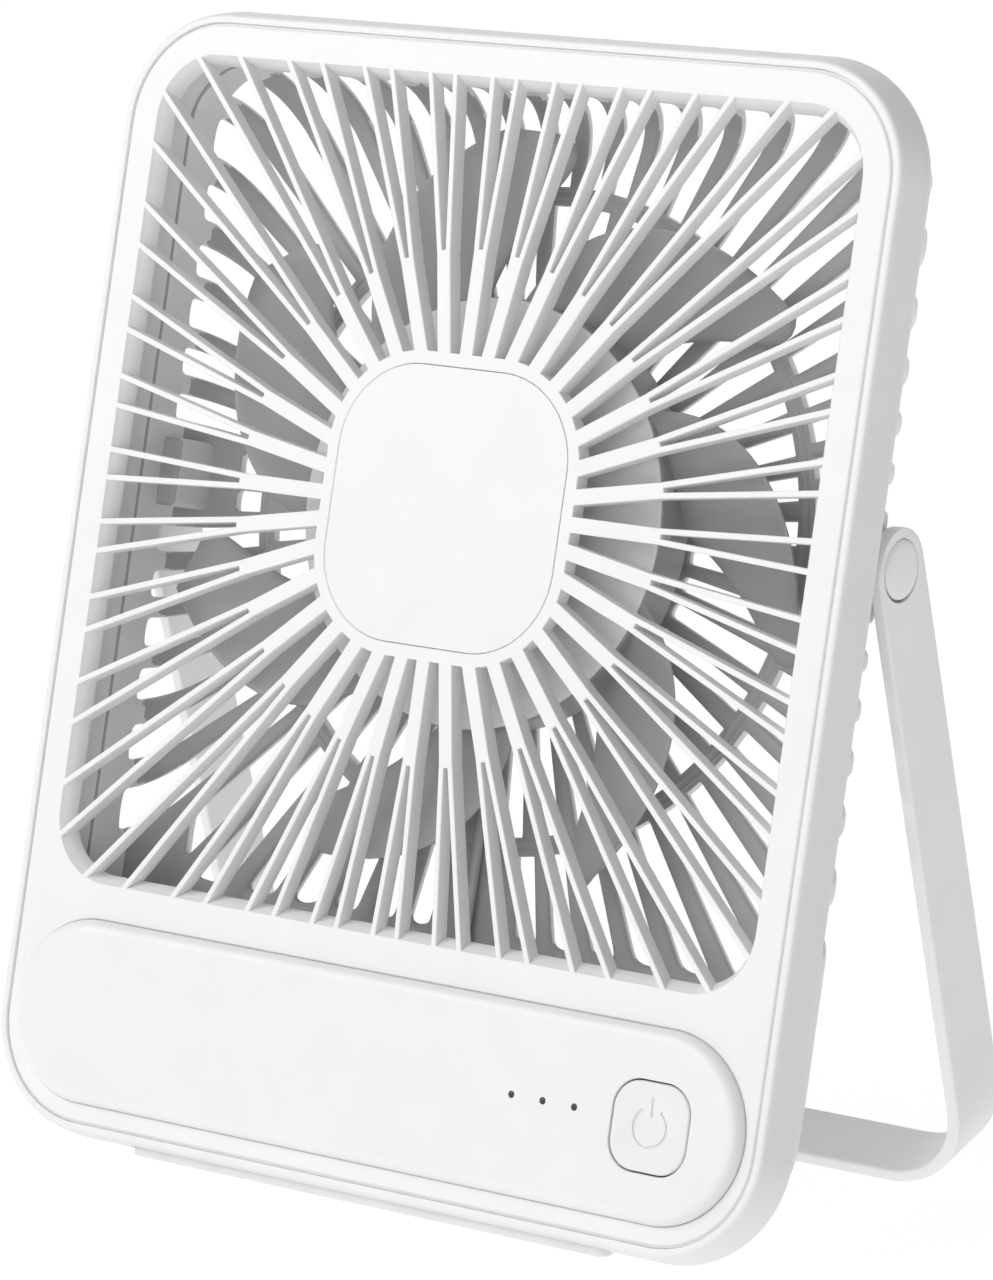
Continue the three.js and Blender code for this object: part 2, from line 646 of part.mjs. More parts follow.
// The underside of the strip is cut to lie flat on the ground.
function footStrip() {
  const { foot } = groundPoints();
  const under = (y) => foot[1] + (y - foot[0]) * Math.tan(LEAN);
  const top = -CASE.height / 2 + FOOT.sunk;
  const section = new THREE.Shape([
    new THREE.Vector2(FOOT.frontY, under(FOOT.frontY)), new THREE.Vector2(FOOT.rearY, under(FOOT.rearY)),
    new THREE.Vector2(FOOT.rearY, top), new THREE.Vector2(FOOT.frontY, top),
  ]);
  const geometry = new THREE.ExtrudeGeometry(section, { depth: 2 * FOOT.halfLength, bevelEnabled: false });
  geometry.rotateX(Math.PI / 2).rotateZ(Math.PI / 2);
  return toSolid(geometry.translate(-FOOT.halfLength, 0, 0));
}

// ---------- put together ----------
piece("front_panel", frontPanel(), WHITE_SATIN);
piece("hub_cap", slab(roundedRect(HUB_CAP.size, HUB_CAP.size, HUB_CAP.corner, 0, FAN_Z), 0, HUB_CAP.thick, 8), WHITE_SATIN);
piece("control_cover", controlCover(), WHITE_SATIN);
piece("power_button", powerButton(), WHITE_SATIN);
LED.x.forEach((x, i) => piece(`led_window_${i + 1}`, ledWindow(x), LED_GREY));
piece("mid_frame", midFrame(), WHITE_SATIN);
piece("rear_cover", rearCover(), WHITE_SATIN);

piece("impeller", impeller(), WHITE_INNER);
piece("rotor_cup", rotorCup(), STEEL);
piece("magnet_ring", turnedAlongY(ring(11.2, 13.1, 13.4, 18.9), 0, FAN_Z, 32), MAGNET);
piece("motor_shaft", turnedAlongY(rod(1.5, 11.8, 20.1), 0, FAN_Z, 16), STEEL);
piece("stator", stator(), COPPER);
piece("motor_base", motorBase(), STEEL);
piece("bearing_front", turnedAlongY(ring(1.8, 3.1, 13.6, 15.6), 0, FAN_Z, 16), BRASS);
piece("bearing_rear", turnedAlongY(ring(1.8, 3.1, 17.6, 19.6), 0, FAN_Z, 16), BRASS);
motorScrewPlaces().forEach(([x, z], i) => {
  piece(`motor_screw_${i + 1}`, screw(x, z, 20.2, 24.3, 0.9, 1.9), STEEL);
});

piece("battery_cell", batteryCell(), CELL_BLUE);
piece("battery_cradle", batteryCradle(), WHITE_INNER);
piece("control_board", controlBoard(), BOARD_GREEN);
piece("button_switch", buttonSwitch(), BLACK);
piece("switch_plunger", turnedAlongY(rod(1.7, 8.6, 10.3), BUTTON.x, BUTTON.z, 16), BLACK);
piece("usb_socket", usbSocket(), STEEL);
piece("usb_tongue", block(USB.x - 3.3, USB.x + 3.3, 17.2, 23.6, USB.z - 0.35, USB.z + 0.35), BLACK);
LED.x.forEach((x, i) => {
  const lamp = block(x - 0.8, x + 0.8, BOARD.y0 - 1.4, BOARD.y0 - GAP, LED.z - 0.6, LED.z + 0.6);
  piece(`lamp_${i + 1}`, lamp, WHITE_INNER);
});
BOARD_SCREWS.forEach(([x, z], i) => {
  piece(`board_screw_${i + 1}`, screw(x, z, 12.9, 19.5, 0.8, 1.7), STEEL);
});
COVER_SCREWS.forEach(([x, z], i) => {
  piece(`cover_screw_${i + 1}`, screw(x, z, DEPTH - 0.7, 4.5, 1.2, 2.2), STEEL);
});
piece("battery_lead_red", lead(RED_LEAD, 0.55), RED);
piece("battery_lead_black", lead(BLACK_LEAD, 0.55), BLACK);
piece("motor_lead", motorLead(), BLACK);
piece("foot_strip", footStrip(), RUBBER);

piece("stand", stand(), WHITE_SATIN, standGroup);
for (const [label, side] of [["left", -1], ["right", 1]]) {
  const onPivot = (profile, segments) => turnedAlongX(sided(side, profile), 0, 0, segments);
  piece(`pivot_cap_${label}`, onPivot(rod(4.6, STRAP.outerX - 0.5, STRAP.outerX + 0.15), 32), WHITE_SATIN, standGroup);
  const pin = onPivot([[0, 64.3], [2, 64.3], [2, 70.9], [3.6, 70.9], [3.6, 71.2], [0, 71.2]], 20);
  piece(`pivot_pin_${label}`, pin.translate([0, PIVOT.y, PIVOT.z]), STEEL);
  const washer = onPivot(ring(2.3, 5.6, 68.95, 69.5), 24);
  piece(`friction_washer_${label}`, washer.translate([0, PIVOT.y, PIVOT.z]), BLACK);
}

// ---------- stand it up ----------
// The lean follows from the two places that touch the ground: foot and strap.
standGroup.position.set(0, PIVOT.y, PIVOT.z);
standGroup.rotation.x = STAND_ANGLE;
product.rotation.x = -LEAN;
product.updateMatrixWorld(true);
const bounds = new THREE.Box3().setFromObject(product, true);
product.position.set(-(bounds.min.x + bounds.max.x) / 2, -(bounds.min.y + bounds.max.y) / 2, -bounds.min.z);

export default product;
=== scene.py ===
"""Looks for a thin desk fan on a fold-out strap stand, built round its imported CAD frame.

Shapes are drawn in the fan's own frame, in millimetres: X to the right, Y from the grille to the
back, Z up, with the origin at the middle of the front panel. Shape.place() turns them into the
row frame, in metres.
"""
import json
import math

import bmesh
import bpy
import numpy as np
from mathutils import Matrix, Vector
from mathutils.geometry import delaunay_2d_cdt


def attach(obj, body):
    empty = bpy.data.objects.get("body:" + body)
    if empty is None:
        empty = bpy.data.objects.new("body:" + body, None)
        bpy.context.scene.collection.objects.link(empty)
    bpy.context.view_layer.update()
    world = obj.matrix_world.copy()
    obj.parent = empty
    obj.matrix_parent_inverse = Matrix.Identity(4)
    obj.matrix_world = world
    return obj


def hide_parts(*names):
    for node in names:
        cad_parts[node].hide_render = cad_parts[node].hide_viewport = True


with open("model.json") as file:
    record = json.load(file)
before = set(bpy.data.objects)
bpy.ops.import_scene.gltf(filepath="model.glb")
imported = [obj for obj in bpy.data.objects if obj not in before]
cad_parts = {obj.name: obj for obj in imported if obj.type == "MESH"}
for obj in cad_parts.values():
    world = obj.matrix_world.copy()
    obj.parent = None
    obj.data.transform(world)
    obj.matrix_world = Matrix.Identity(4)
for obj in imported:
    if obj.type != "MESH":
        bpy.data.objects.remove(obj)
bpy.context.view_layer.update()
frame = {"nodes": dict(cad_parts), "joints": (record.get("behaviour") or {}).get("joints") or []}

# ---------- the fan's own frame ----------
JOINTS = {joint["name"]: joint for joint in frame["joints"]}
FAN_Z = 16.6  # height of the fan's axis above the middle of the panel
SPIN_Y = 14.0  # depth at which the record states the fan's axis
RIGHT = Vector((1, 0, 0))
BACK = Vector(JOINTS["impeller_spin"]["axis"]).normalized()
UP = RIGHT.cross(BACK)
ORIGIN = Vector(JOINTS["impeller_spin"]["pos_m"]) - (BACK * SPIN_Y + UP * FAN_Z) / 1000
AXES = np.array([RIGHT, BACK, UP])


def to_row(points):
    """Points of the fan's own frame, in mm, as row-frame points in metres."""
    return np.asarray(points, float) @ AXES / 1000 + np.array(ORIGIN)


# ---------- camera ----------
PITCH, YAW, ROLL = 0.01179, 0.60742, 0.13965
CAMERA_OFFSET = Vector((-10.389, -3.987, 909.358)) / 1000  # the fan's origin as the camera sees it
LENS = 165.51


def add_camera():
    turn = Matrix.Rotation(ROLL, 3, "Z") @ Matrix.Rotation(PITCH, 3, "X") @ Matrix.Rotation(YAW, 3, "Y")

    def in_row(seen):  # seen: right, down and away from the camera
        x, down, away = turn.transposed() @ Vector(seen)
        return RIGHT * x + BACK * away - UP * down

    place = ORIGIN - in_row(CAMERA_OFFSET)
    columns = [in_row((1, 0, 0)), in_row((0, -1, 0)), in_row((0, 0, -1))]
    data = bpy.data.cameras.new("camera")
    data.lens = LENS
    data.sensor_width = 36
    data.clip_end = 20
    camera = bpy.data.objects.new("camera", data)
    bpy.context.scene.collection.objects.link(camera)
    camera.matrix_world = Matrix.Translation(place) @ Matrix(columns).transposed().to_4x4()
    bpy.context.scene.camera = camera


add_camera()


# ---------- materials ----------
class Nodes:
    """A short way to write a node tree."""

    def __init__(self, name):
        self.material = bpy.data.materials.new(name)
        self.material.use_nodes = True
        self.tree = self.material.node_tree
        self.shader = self.tree.nodes["Principled BSDF"]
        self.place = self.add("ShaderNodeTexCoord").outputs["Object"]

    def add(self, kind, **settings):
        node = self.tree.nodes.new(kind)
        for key, value in settings.items():
            setattr(node, key, value)
        return node

    def link(self, source, target):
        self.tree.links.new(source, target)

    def noise(self, size_mm, detail=2.0, roughness=0.5):
        node = self.add("ShaderNodeTexNoise")
        node.inputs["Scale"].default_value = 1000 / size_mm
        node.inputs["Detail"].default_value = detail
        node.inputs["Roughness"].default_value = roughness
        self.link(self.place, node.inputs["Vector"])
        return node.outputs["Fac"]

    def spread(self, source, low, high):
        node = self.add("ShaderNodeMapRange")
        node.inputs["From Min"].default_value = 0.25
        node.inputs["From Max"].default_value = 0.75
        node.inputs["To Min"].default_value = low
        node.inputs["To Max"].default_value = high
        self.link(source, node.inputs["Value"])
        return node.outputs["Result"]

    def tint(self, source, low, high):
        node = self.add("ShaderNodeValToRGB")
        node.color_ramp.elements[0].position = 0.25
        node.color_ramp.elements[1].position = 0.75
        node.color_ramp.elements[0].color = (*low, 1)
        node.color_ramp.elements[1].color = (*high, 1)
        self.link(source, node.inputs["Fac"])
        return node.outputs["Color"]

    def bump(self, layers):
        """layers: (height output, depth in mm), from coarse to fine."""
        normal = None
        for height, depth in layers:
            node = self.add("ShaderNodeBump")
            node.inputs["Strength"].default_value = 1.0
            node.inputs["Distance"].default_value = depth / 1000
            self.link(height, node.inputs["Height"])
            if normal is not None:
                self.link(normal, node.inputs["Normal"])
            normal = node.outputs["Normal"]
        self.link(normal, self.shader.inputs["Normal"])


def plastic(name, color, rough=0.42, grain_mm=0.22, grain_depth=0.006, vary=0.012, coat=0.0):
    """Moulded plastic: faint flow marks in the colour, fine spark texture, uneven sheen."""
    n = Nodes(name)
    low = [max(c - vary, 0) for c in color]
    high = [min(c + vary, 1) for c in color]
    n.link(n.tint(n.noise(9, 3), low, high), n.shader.inputs["Base Color"])
    n.link(n.spread(n.noise(2.4, 4), rough - 0.05, rough + 0.06), n.shader.inputs["Roughness"])
    n.bump([(n.noise(26, 1), 0.05), (n.noise(grain_mm, 3, 0.6), grain_depth)])
    n.shader.inputs["Specular IOR Level"].default_value = 0.45
    n.shader.inputs["Coat Weight"].default_value = coat
    n.shader.inputs["Coat Roughness"].default_value = 0.25
    return n.material


def turned_metal(name, color, rough=0.28, scratch_mm=0.35):
    """Machined or pressed metal: fine rings and small stains."""
    n = Nodes(name)
    n.shader.inputs["Metallic"].default_value = 1.0
    low = [c * 0.86 for c in color]
    n.link(n.tint(n.noise(3.5, 5), low, color), n.shader.inputs["Base Color"])
    n.link(n.spread(n.noise(scratch_mm, 4, 0.7), rough - 0.08, rough + 0.14), n.shader.inputs["Roughness"])
    n.bump([(n.noise(scratch_mm, 5, 0.7), 0.004)])
    return n.material


def windings(name):
    """Copper wire laid side by side."""
    n = Nodes(name)
    wave = n.add("ShaderNodeTexWave", wave_type="BANDS", bands_direction="X")
    wave.inputs["Scale"].default_value = 1100
    wave.inputs["Distortion"].default_value = 1.5
    n.link(n.place, wave.inputs["Vector"])
    n.shader.inputs["Metallic"].default_value = 1.0
    n.shader.inputs["Roughness"].default_value = 0.32
    wire = n.tint(wave.outputs["Fac"], (0.28, 0.11, 0.05), (0.78, 0.40, 0.20))
    n.link(wire, n.shader.inputs["Base Color"])
    n.bump([(wave.outputs["Fac"], 0.08)])
    return n.material


def board_mask(name):
    """Green solder mask over faint copper tracks."""
    n = Nodes(name)
    cells = n.add("ShaderNodeTexVoronoi", feature="DISTANCE_TO_EDGE")
    cells.inputs["Scale"].default_value = 220
    n.link(n.place, cells.inputs["Vector"])
    tracks = n.tint(cells.outputs["Distance"], (0.02, 0.16, 0.08), (0.03, 0.23, 0.11))
    n.link(tracks, n.shader.inputs["Base Color"])
    n.shader.inputs["Roughness"].default_value = 0.3
    n.bump([(cells.outputs["Distance"], 0.02)])
    return n.material


SHELL = plastic("satin_shell", (0.785, 0.785, 0.79), rough=0.40)
GRILLE = plastic("satin_grille", (0.80, 0.80, 0.803), rough=0.42)
COVER = plastic("smooth_cover", (0.795, 0.795, 0.798), rough=0.34, grain_depth=0.003)
BUTTON = plastic("smooth_button", (0.775, 0.775, 0.779), rough=0.36, grain_depth=0.002)
STRAP = plastic("satin_strap", (0.855, 0.855, 0.86), rough=0.42)
BLADES = plastic("blade_plastic", (0.36, 0.36, 0.364), rough=0.36, grain_mm=0.4, vary=0.02)
ROTOR_HUB = plastic("hub_plastic", (0.80, 0.80, 0.805), rough=0.38, grain_mm=0.4, vary=0.015)
REAR = plastic("rear_plastic", (0.80, 0.80, 0.805), rough=0.42)
# Painted shade: a darker copy of the rear plastic, standing in for the shade on the inward faces and inside
# the shell
REAR_PAINTED_SHADE = plastic("rear_plastic_painted_shade", (0.42, 0.42, 0.424), rough=0.5)
WINDOW = plastic("dark_window", (0.012, 0.012, 0.013), rough=0.12, grain_depth=0.0, vary=0.004, coat=0.6)
FOOT = plastic("foot_rubber", (0.78, 0.78, 0.78), rough=0.78, grain_mm=0.5, grain_depth=0.03, vary=0.03)
BLACK = plastic("black_plastic", (0.02, 0.02, 0.021), rough=0.45, vary=0.006)
LAMP = plastic("lamp_body", (0.75, 0.74, 0.66), rough=0.25, vary=0.03)
MAGNET = plastic("ferrite", (0.05, 0.05, 0.055), rough=0.7, grain_mm=0.3, grain_depth=0.03, vary=0.015)
SLEEVE = plastic("cell_sleeve", (0.06, 0.20, 0.42), rough=0.22, vary=0.02, coat=0.4)
RED_LEAD = plastic("red_lead", (0.42, 0.02, 0.015), rough=0.5, vary=0.03)
LEAD_SLEEVE = plastic("lead_sleeve", (0.52, 0.52, 0.525), rough=0.55, vary=0.02)
BLACK_LEAD = plastic("black_lead", (0.016, 0.016, 0.017), rough=0.5, vary=0.006)
STEEL = turned_metal("steel", (0.62, 0.62, 0.64))
BRASS = turned_metal("brass", (0.72, 0.52, 0.24), rough=0.3)
COPPER = windings("copper_windings")
BOARD = board_mask("solder_mask")

CARRIED = {
    STEEL: [
        "rotor_cup", "motor_shaft", "motor_base", "motor_screw_1", "motor_screw_2", "motor_screw_3",
        "board_screw_1", "board_screw_2", "pivot_pin_left", "pivot_pin_right",
    ],
    BRASS: ["bearing_front", "bearing_rear"],
    MAGNET: ["magnet_ring"],
    COPPER: ["stator"],
    SLEEVE: ["battery_cell"],
    SHELL: ["battery_cradle"],
    BOARD: ["control_board"],
    BLACK: ["button_switch", "switch_plunger", "friction_washer_left", "friction_washer_right"],
    LAMP: ["lamp_1", "lamp_2", "lamp_3"],
    RED_LEAD: ["battery_lead_red"],
    BLACK_LEAD: ["battery_lead_black"],
}
for carried_material, names in CARRIED.items():
    for node_name in names:
        mesh = frame["nodes"][node_name].data
        mesh.materials.clear()
        mesh.materials.append(carried_material)


# ---------- outlines, as arrays of X and Z ----------
def rounded(width, height, radius, centre=(0.0, 0.0), steps=12):
    """Anticlockwise outline of a rectangle with round corners."""
    w, h = width / 2 - radius, height / 2 - radius
    points = []
    for turn, (sx, sz) in enumerate(((1, 1), (-1, 1), (-1, -1), (1, -1))):
        for i in range(steps + 1):
            a = (turn + i / steps) * math.pi / 2
            x, z = sx * w + radius * math.cos(a), sz * h + radius * math.sin(a)
            points.append((centre[0] + x, centre[1] + z))
    return np.array(points)


def circle(radius, centre, steps=24):
    angles = np.arange(steps) * 2 * math.pi / steps
    return np.stack([centre[0] + radius * np.cos(angles), centre[1] + radius * np.sin(angles)], 1)


CASE = (149.5, 182.8, 19.2)  # width, height and corner radius of the widest outline


def case_outline(inset, steps=12):
    width, height, radius = CASE
    return rounded(width - 2 * inset, height - 2 * inset, max(radius - inset, 0.2), steps=steps)


def distance_to(outline_size, points, centre=(0.0, 0.0)):
    """Signed distance from points to a rectangle with round corners."""
    width, height, radius = outline_size
    q = np.abs(points - np.array(centre)) - np.array([width / 2 - radius, height / 2 - radius])
    outside = np.hypot(*np.maximum(q, 0).T)
    return outside + np.minimum(q.max(axis=1), 0) - radius


def reach(start, direction, outline_size, centre):
    """How far along each ray the outline lies."""
    near = np.zeros(len(start))
    far = np.full(len(start), 200.0)
    for _ in range(45):
        middle = (near + far) / 2
        inside = distance_to(outline_size, start + direction * middle[:, None], centre) < 0
        near, far = np.where(inside, middle, near), np.where(inside, far, middle)
    return near


def offset_outline(points, amounts):
    """Moves each edge of an anticlockwise outline outwards by its own amount."""
    edges = np.roll(points, -1, axis=0) - points
    normals = np.stack([edges[:, 1], -edges[:, 0]], 1) / np.linalg.norm(edges, axis=1)[:, None]
    moved = []
    for i, point in enumerate(points):
        n1, n2, a1, a2 = normals[i - 1], normals[i], amounts[i - 1], amounts[i]
        turn = n1[0] * n2[1] - n1[1] * n2[0]
        if abs(turn) < 0.05:
            middle = (n1 + n2) / np.linalg.norm(n1 + n2)
            moved.append(point + middle * (a1 + a2) / 2)
        else:
            moved.append(point + np.linalg.solve(np.array([n1, n2]), np.array([a1, a2])))
    return np.array(moved)


def quarter(radius, steps=4):
    """A rounded edge as (distance from the wall, depth below the face), from face to wall."""
    angles = np.linspace(0, math.pi / 2, steps + 1)
    return [(radius * (1 - math.sin(a)), radius * (1 - math.cos(a))) for a in angles]


# ---------- mesh building ----------
class Shape:
    """Points in the fan's own frame and the faces between them."""

    def __init__(self):
        self.points = []
        self.faces = []

    def loop(self, outline, y):
        """Adds an outline at depth y and returns its point numbers."""
        first = len(self.points)
        depths = np.broadcast_to(y, len(outline))
        self.points += [(x, d, z) for (x, z), d in zip(outline, depths)]
        return list(range(first, len(self.points)))

    def add(self, points):
        first = len(self.points)
        self.points += [tuple(p) for p in points]
        return list(range(first, len(self.points)))

    def bridge(self, one, two):
        """Joins two loops of as many points."""
        for i in range(len(one)):
            j = (i + 1) % len(one)
            self.faces.append((one[i], one[j], two[j], two[i]))

    def stack(self, loops):
        for one, two in zip(loops, loops[1:]):
            self.bridge(one, two)

    def cap(self, loop):
        self.faces.append(tuple(loop))

    def fill(self, outer, holes=()):
        """Fills the flat region inside one loop and outside the others."""
        loops = [outer, *holes]
        numbers = [i for loop in loops for i in loop]
        flat = [Vector((self.points[i][0], self.points[i][2])) for i in numbers]
        faces, first = [], 0
        for loop in loops:
            faces.append(list(range(first, first + len(loop))))
            first += len(loop)
        made = delaunay_2d_cdt(flat, [], faces, 1, 1e-6)
        origin, triangles, sources = made[3], made[2], made[5]
        for triangle, source in zip(triangles, sources):
            if set(source) == {0}:
                self.faces.append(tuple(numbers[origin[i][0]] for i in triangle))

    def merge(self, other):
        first = len(self.points)
        self.points += other.points
        self.faces += [tuple(i + first for i in face) for face in other.faces]

    def place(self, name, body, slot, material, replaces=(), sharp=35):
        """Makes the mesh and hands it to its body, with edges over `sharp` degrees kept crisp."""
        mesh = bpy.data.meshes.new(name)
        mesh.from_pydata([tuple(p) for p in to_row(self.points)], [], self.faces)
        work = bmesh.new()
        work.from_mesh(mesh)
        bmesh.ops.recalc_face_normals(work, faces=work.faces)
        work.to_mesh(mesh)
        work.free()
        mesh.shade_smooth()
        if sharp:
            mesh.set_sharp_from_angle(angle=math.radians(sharp))
        mesh.materials.append(material)
        piece = bpy.data.objects.new(name, mesh)
        bpy.context.scene.collection.objects.link(piece)
        modifier = piece.modifiers.new("even_normals", "WEIGHTED_NORMAL")
        modifier.keep_sharp = True
        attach(piece, body)
        if replaces:
            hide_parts(*replaces)
        return piece


def lathe(profile, centre, axis="Y", steps=48):
    """A turned shape: pairs of radius and place along the axis, from one end to the other."""
    shape = Shape()
    loops = []
    for radius, along in profile:
        angles = np.arange(steps) * 2 * math.pi / steps
        a, b = radius * np.cos(angles), radius * np.sin(angles)
        flat = np.full(steps, float(along))
        columns = (a, flat, b) if axis == "Y" else (flat, a, b)
        loops.append(shape.add(np.stack(columns, 1) + np.array(centre)))
    shape.stack(loops)
    shape.cap(loops[0])
    shape.cap(loops[-1])
    return shape


def cut(piece, cutters):
    """Cuts closed shapes out of a piece for good."""
    for cutter in cutters:
        tool = bpy.data.meshes.new("cutter")
        tool.from_pydata([tuple(p) for p in to_row(cutter.points)], [], cutter.faces)
        work = bmesh.new()
        work.from_mesh(tool)
        bmesh.ops.recalc_face_normals(work, faces=work.faces)
        work.to_mesh(tool)
        work.free()
        tool_object = bpy.data.objects.new("cutter", tool)
        bpy.context.scene.collection.objects.link(tool_object)
        modifier = piece.modifiers.new("cut", "BOOLEAN")
        modifier.operation = "DIFFERENCE"
        modifier.solver = "EXACT"
        modifier.object = tool_object
        graph = bpy.context.evaluated_depsgraph_get()
        result = bpy.data.meshes.new_from_object(piece.evaluated_get(graph))
        piece.modifiers.clear()
        piece.data = result
        bpy.data.objects.remove(tool_object)


# ---------- sizes shared by the pieces at the front ----------
PANEL_DEPTH = 3.1
FAN_CENTRE = (0.0, FAN_Z)
CAP_SIZE, CAP_CORNER = 43.4, 14.0
CAP_SEAT, CAP_SEAT_CORNER = 43.76, 14.2
PILL = (140.0, 29.4)
PILL_Z = -70.8
PILL_GAP = 0.1
RISE = 1.95  # how far the control cover stands above the panel
BUTTON_CENTRE = (54.3, -71.0)
BUTTON_SIZE, BUTTON_CORNER = 13.6, 4.5
BUTTON_WELL = (17.4, 17.4, 6.0)  # hole behind the button, with room for its skirt
LED_X = (28.9, 34.7, 40.5)
LED_Z = -70.2
PIPE_HOLE = 1.5


def pill(inset):
    height = PILL[1] - 2 * inset
    return rounded(PILL[0] - 2 * inset, height, height / 2, (0, PILL_Z), 28)


def cap_outline(grow):
    size = CAP_SIZE + 2 * grow
    return rounded(size, size, CAP_CORNER + grow, FAN_CENTRE, 20)


def cap_seat(grow):
    size = CAP_SEAT + 2 * grow
    return rounded(size, size, CAP_SEAT_CORNER + grow, FAN_CENTRE)


# ---------- front panel and grille ----------
PANEL_INSET, PANEL_ROUND = 2.95, 0.45  # the panel's edge inside the case outline, and its rounding
GROOVE_INSET, GROOVE_DEPTH = 2.62, 0.58  # the groove round the panel is closed at this depth
SEAT_STEP = 0.08  # the seats of the cap and the cover close in under their rounded rims
CAP_SEAT_DEPTH, COVER_SEAT_DEPTH = 1.7, 1.9
OPENING = (133.8, 133.8, 10.7)
HUB_PLATE = (47.8, 47.8, 16.5)
STEMS = 36
STEM_HALF = 1.25
FORK_RADIUS = 40.3
SHOULDER = 0.4  # a stem starts to widen this far before its fork
TINE_HALF = 0.475
TINE_START, TINE_SPREAD = 0.82, 0.055  # a tine's distance from its stem's middle, and its slant
BEYOND = 120  # a radius past the opening's corners
EDGE = 0.2  # rounding of the grille's front edges
TINE_BACK = 0.4  # rounding of the tines' rear edges
CHAMFER_IN, CHAMFER_DEPTH = 1.4, 2.0


def tine_middle(radius):
    return TINE_START + (radius - FORK_RADIUS) * TINE_SPREAD


def side_of_stem(angle, sign, outer):
    """One side of a stem or, for outer -1, of the gap in its fork, as X and Z round the fan's axis."""
    along = np.array([math.cos(angle), math.sin(angle)])
    across = np.array([-along[1], along[0]]) * sign
    slope_start = along * FORK_RADIUS + across * (tine_middle(FORK_RADIUS) + outer * TINE_HALF)
    slope_end = along * BEYOND + across * (tine_middle(BEYOND) + outer * TINE_HALF)
    direction = (slope_end - slope_start) / np.linalg.norm(slope_end - slope_start)
    end = slope_start + direction * reach(slope_start[None], direction[None], OPENING, (0, 0))[0]
    if outer < 0:
        return [slope_start, end]
    start = across * STEM_HALF
    begin = start + along * reach(start[None], along[None], HUB_PLATE, (0, 0))[0]
    shoulder = along * (FORK_RADIUS - SHOULDER) + across * STEM_HALF
    return [begin, shoulder, slope_start, end]


def outline_between(outline_size, one, two, steps=16):
    """Points of an outline strictly between two of its points, going anticlockwise."""
    dense = rounded(*outline_size, steps=steps)
    angles = np.arctan2(dense[:, 1], dense[:, 0])
    low = math.atan2(one[1], one[0])
    span = (math.atan2(two[1], two[0]) - low) % (2 * math.pi)
    turn = (angles - low) % (2 * math.pi)
    inside = (turn > 0.006) & (turn < span - 0.006)
    return [dense[i] for i in np.argsort(turn) if inside[i]]


def slot_outline(angle_one, angle_two):
    """A gap between two stems, and which of its edges lie on the opening."""
    one = side_of_stem(angle_one, 1, 1)
    two = side_of_stem(angle_two, -1, 1)
    outer = outline_between(OPENING, one[-1], two[-1])
    inner = outline_between(HUB_PLATE, one[0], two[0])
    points = one + outer + two[::-1] + inner[::-1]
    on_opening = [False] * len(points)
    for i in range(len(one) - 1, len(one) + len(outer)):
        on_opening[i] = True
    return np.array(points), on_opening


def fork_outline(angle):
    """The gap inside a fork."""
    one = side_of_stem(angle, -1, -1)
    two = side_of_stem(angle, 1, -1)
    outer = outline_between(OPENING, one[-1], two[-1])
    points = one + outer + two[::-1]
    on_opening = [False] * len(points)
    for i in range(len(one) - 1, len(one) + len(outer)):
        on_opening[i] = True
    return np.array(points), on_opening


def gap_walls(shape, points, on_opening):
    """Walls of one gap, rounded at both faces; the opening's rim slopes inwards."""
    levels = [*quarter(EDGE, 3), (0.0, 0.9), (0.0, 1.6), (0.0, PANEL_DEPTH - TINE_BACK)]
    levels += [(g, PANEL_DEPTH - d) for g, d in reversed(quarter(TINE_BACK, 4))][1:]
    loops = []
    for grow, depth in levels:
        slope = min(max((depth - EDGE) / CHAMFER_DEPTH, 0), 1)
        at_opening = (grow if depth < 1 else 0) - CHAMFER_IN * slope
        amounts = [at_opening if flag else grow for flag in on_opening]
        loops.append(shape.loop(offset_outline(points, amounts), depth))
    shape.stack(loops)
    return loops[0], loops[-1]


def seat_walls(shape, outline, depth, rim):
    """Walls of a seat sunk into the panel; outline(g) is its outline grown by g."""
    loops = [shape.loop(outline(g), d) for g, d in quarter(rim, 3)]
    loops += [shape.loop(outline(-SEAT_STEP), d) for d in (rim + 0.05, depth)]
    shape.stack(loops)
    return loops[0], loops[-1]


def cover_holes(shape, depth):
    """Outlines of the button's well and the lamps' holes at a depth."""
    holes = [shape.loop(rounded(*BUTTON_WELL, BUTTON_CENTRE), depth)]
    return holes + [shape.loop(circle(PIPE_HOLE, (x, LED_Z)), depth) for x in LED_X]


def front_panel():
    shape = Shape()
    pitch = 2 * math.pi / STEMS
    front_holes, back_holes = [], []
    for i in range(STEMS):
        for points, on_opening in (slot_outline(pitch * i, pitch * (i + 1)), fork_outline(pitch * i)):
            front, back = gap_walls(shape, points + np.array(FAN_CENTRE), on_opening)
            front_holes.append(front)
            back_holes.append(back)

    edge = [shape.loop(case_outline(GROOVE_INSET), d) for d in (PANEL_DEPTH, GROOVE_DEPTH)]
    edge += [shape.loop(case_outline(PANEL_INSET + g), d) for g, d in reversed(quarter(PANEL_ROUND))]
    shape.stack(edge)

    cap_rim, cap_floor = seat_walls(shape, cap_seat, CAP_SEAT_DEPTH, 0.12)
    shape.fill(cap_floor)
    cover_rim, cover_floor = seat_walls(shape, lambda g: pill(-PILL_GAP - g), COVER_SEAT_DEPTH, 0.3)
    tops, bottoms = cover_holes(shape, COVER_SEAT_DEPTH), cover_holes(shape, PANEL_DEPTH)
    for top, bottom in zip(tops, bottoms):
        shape.bridge(top, bottom)
    shape.fill(cover_floor, tops)
    shape.fill(edge[-1], [*front_holes, cap_rim, cover_rim])
    shape.fill(edge[0], [*back_holes, *bottoms])
    return shape


front_panel().place("front_panel_shell", "housing", "grille", GRILLE, ["front_panel"], sharp=30)


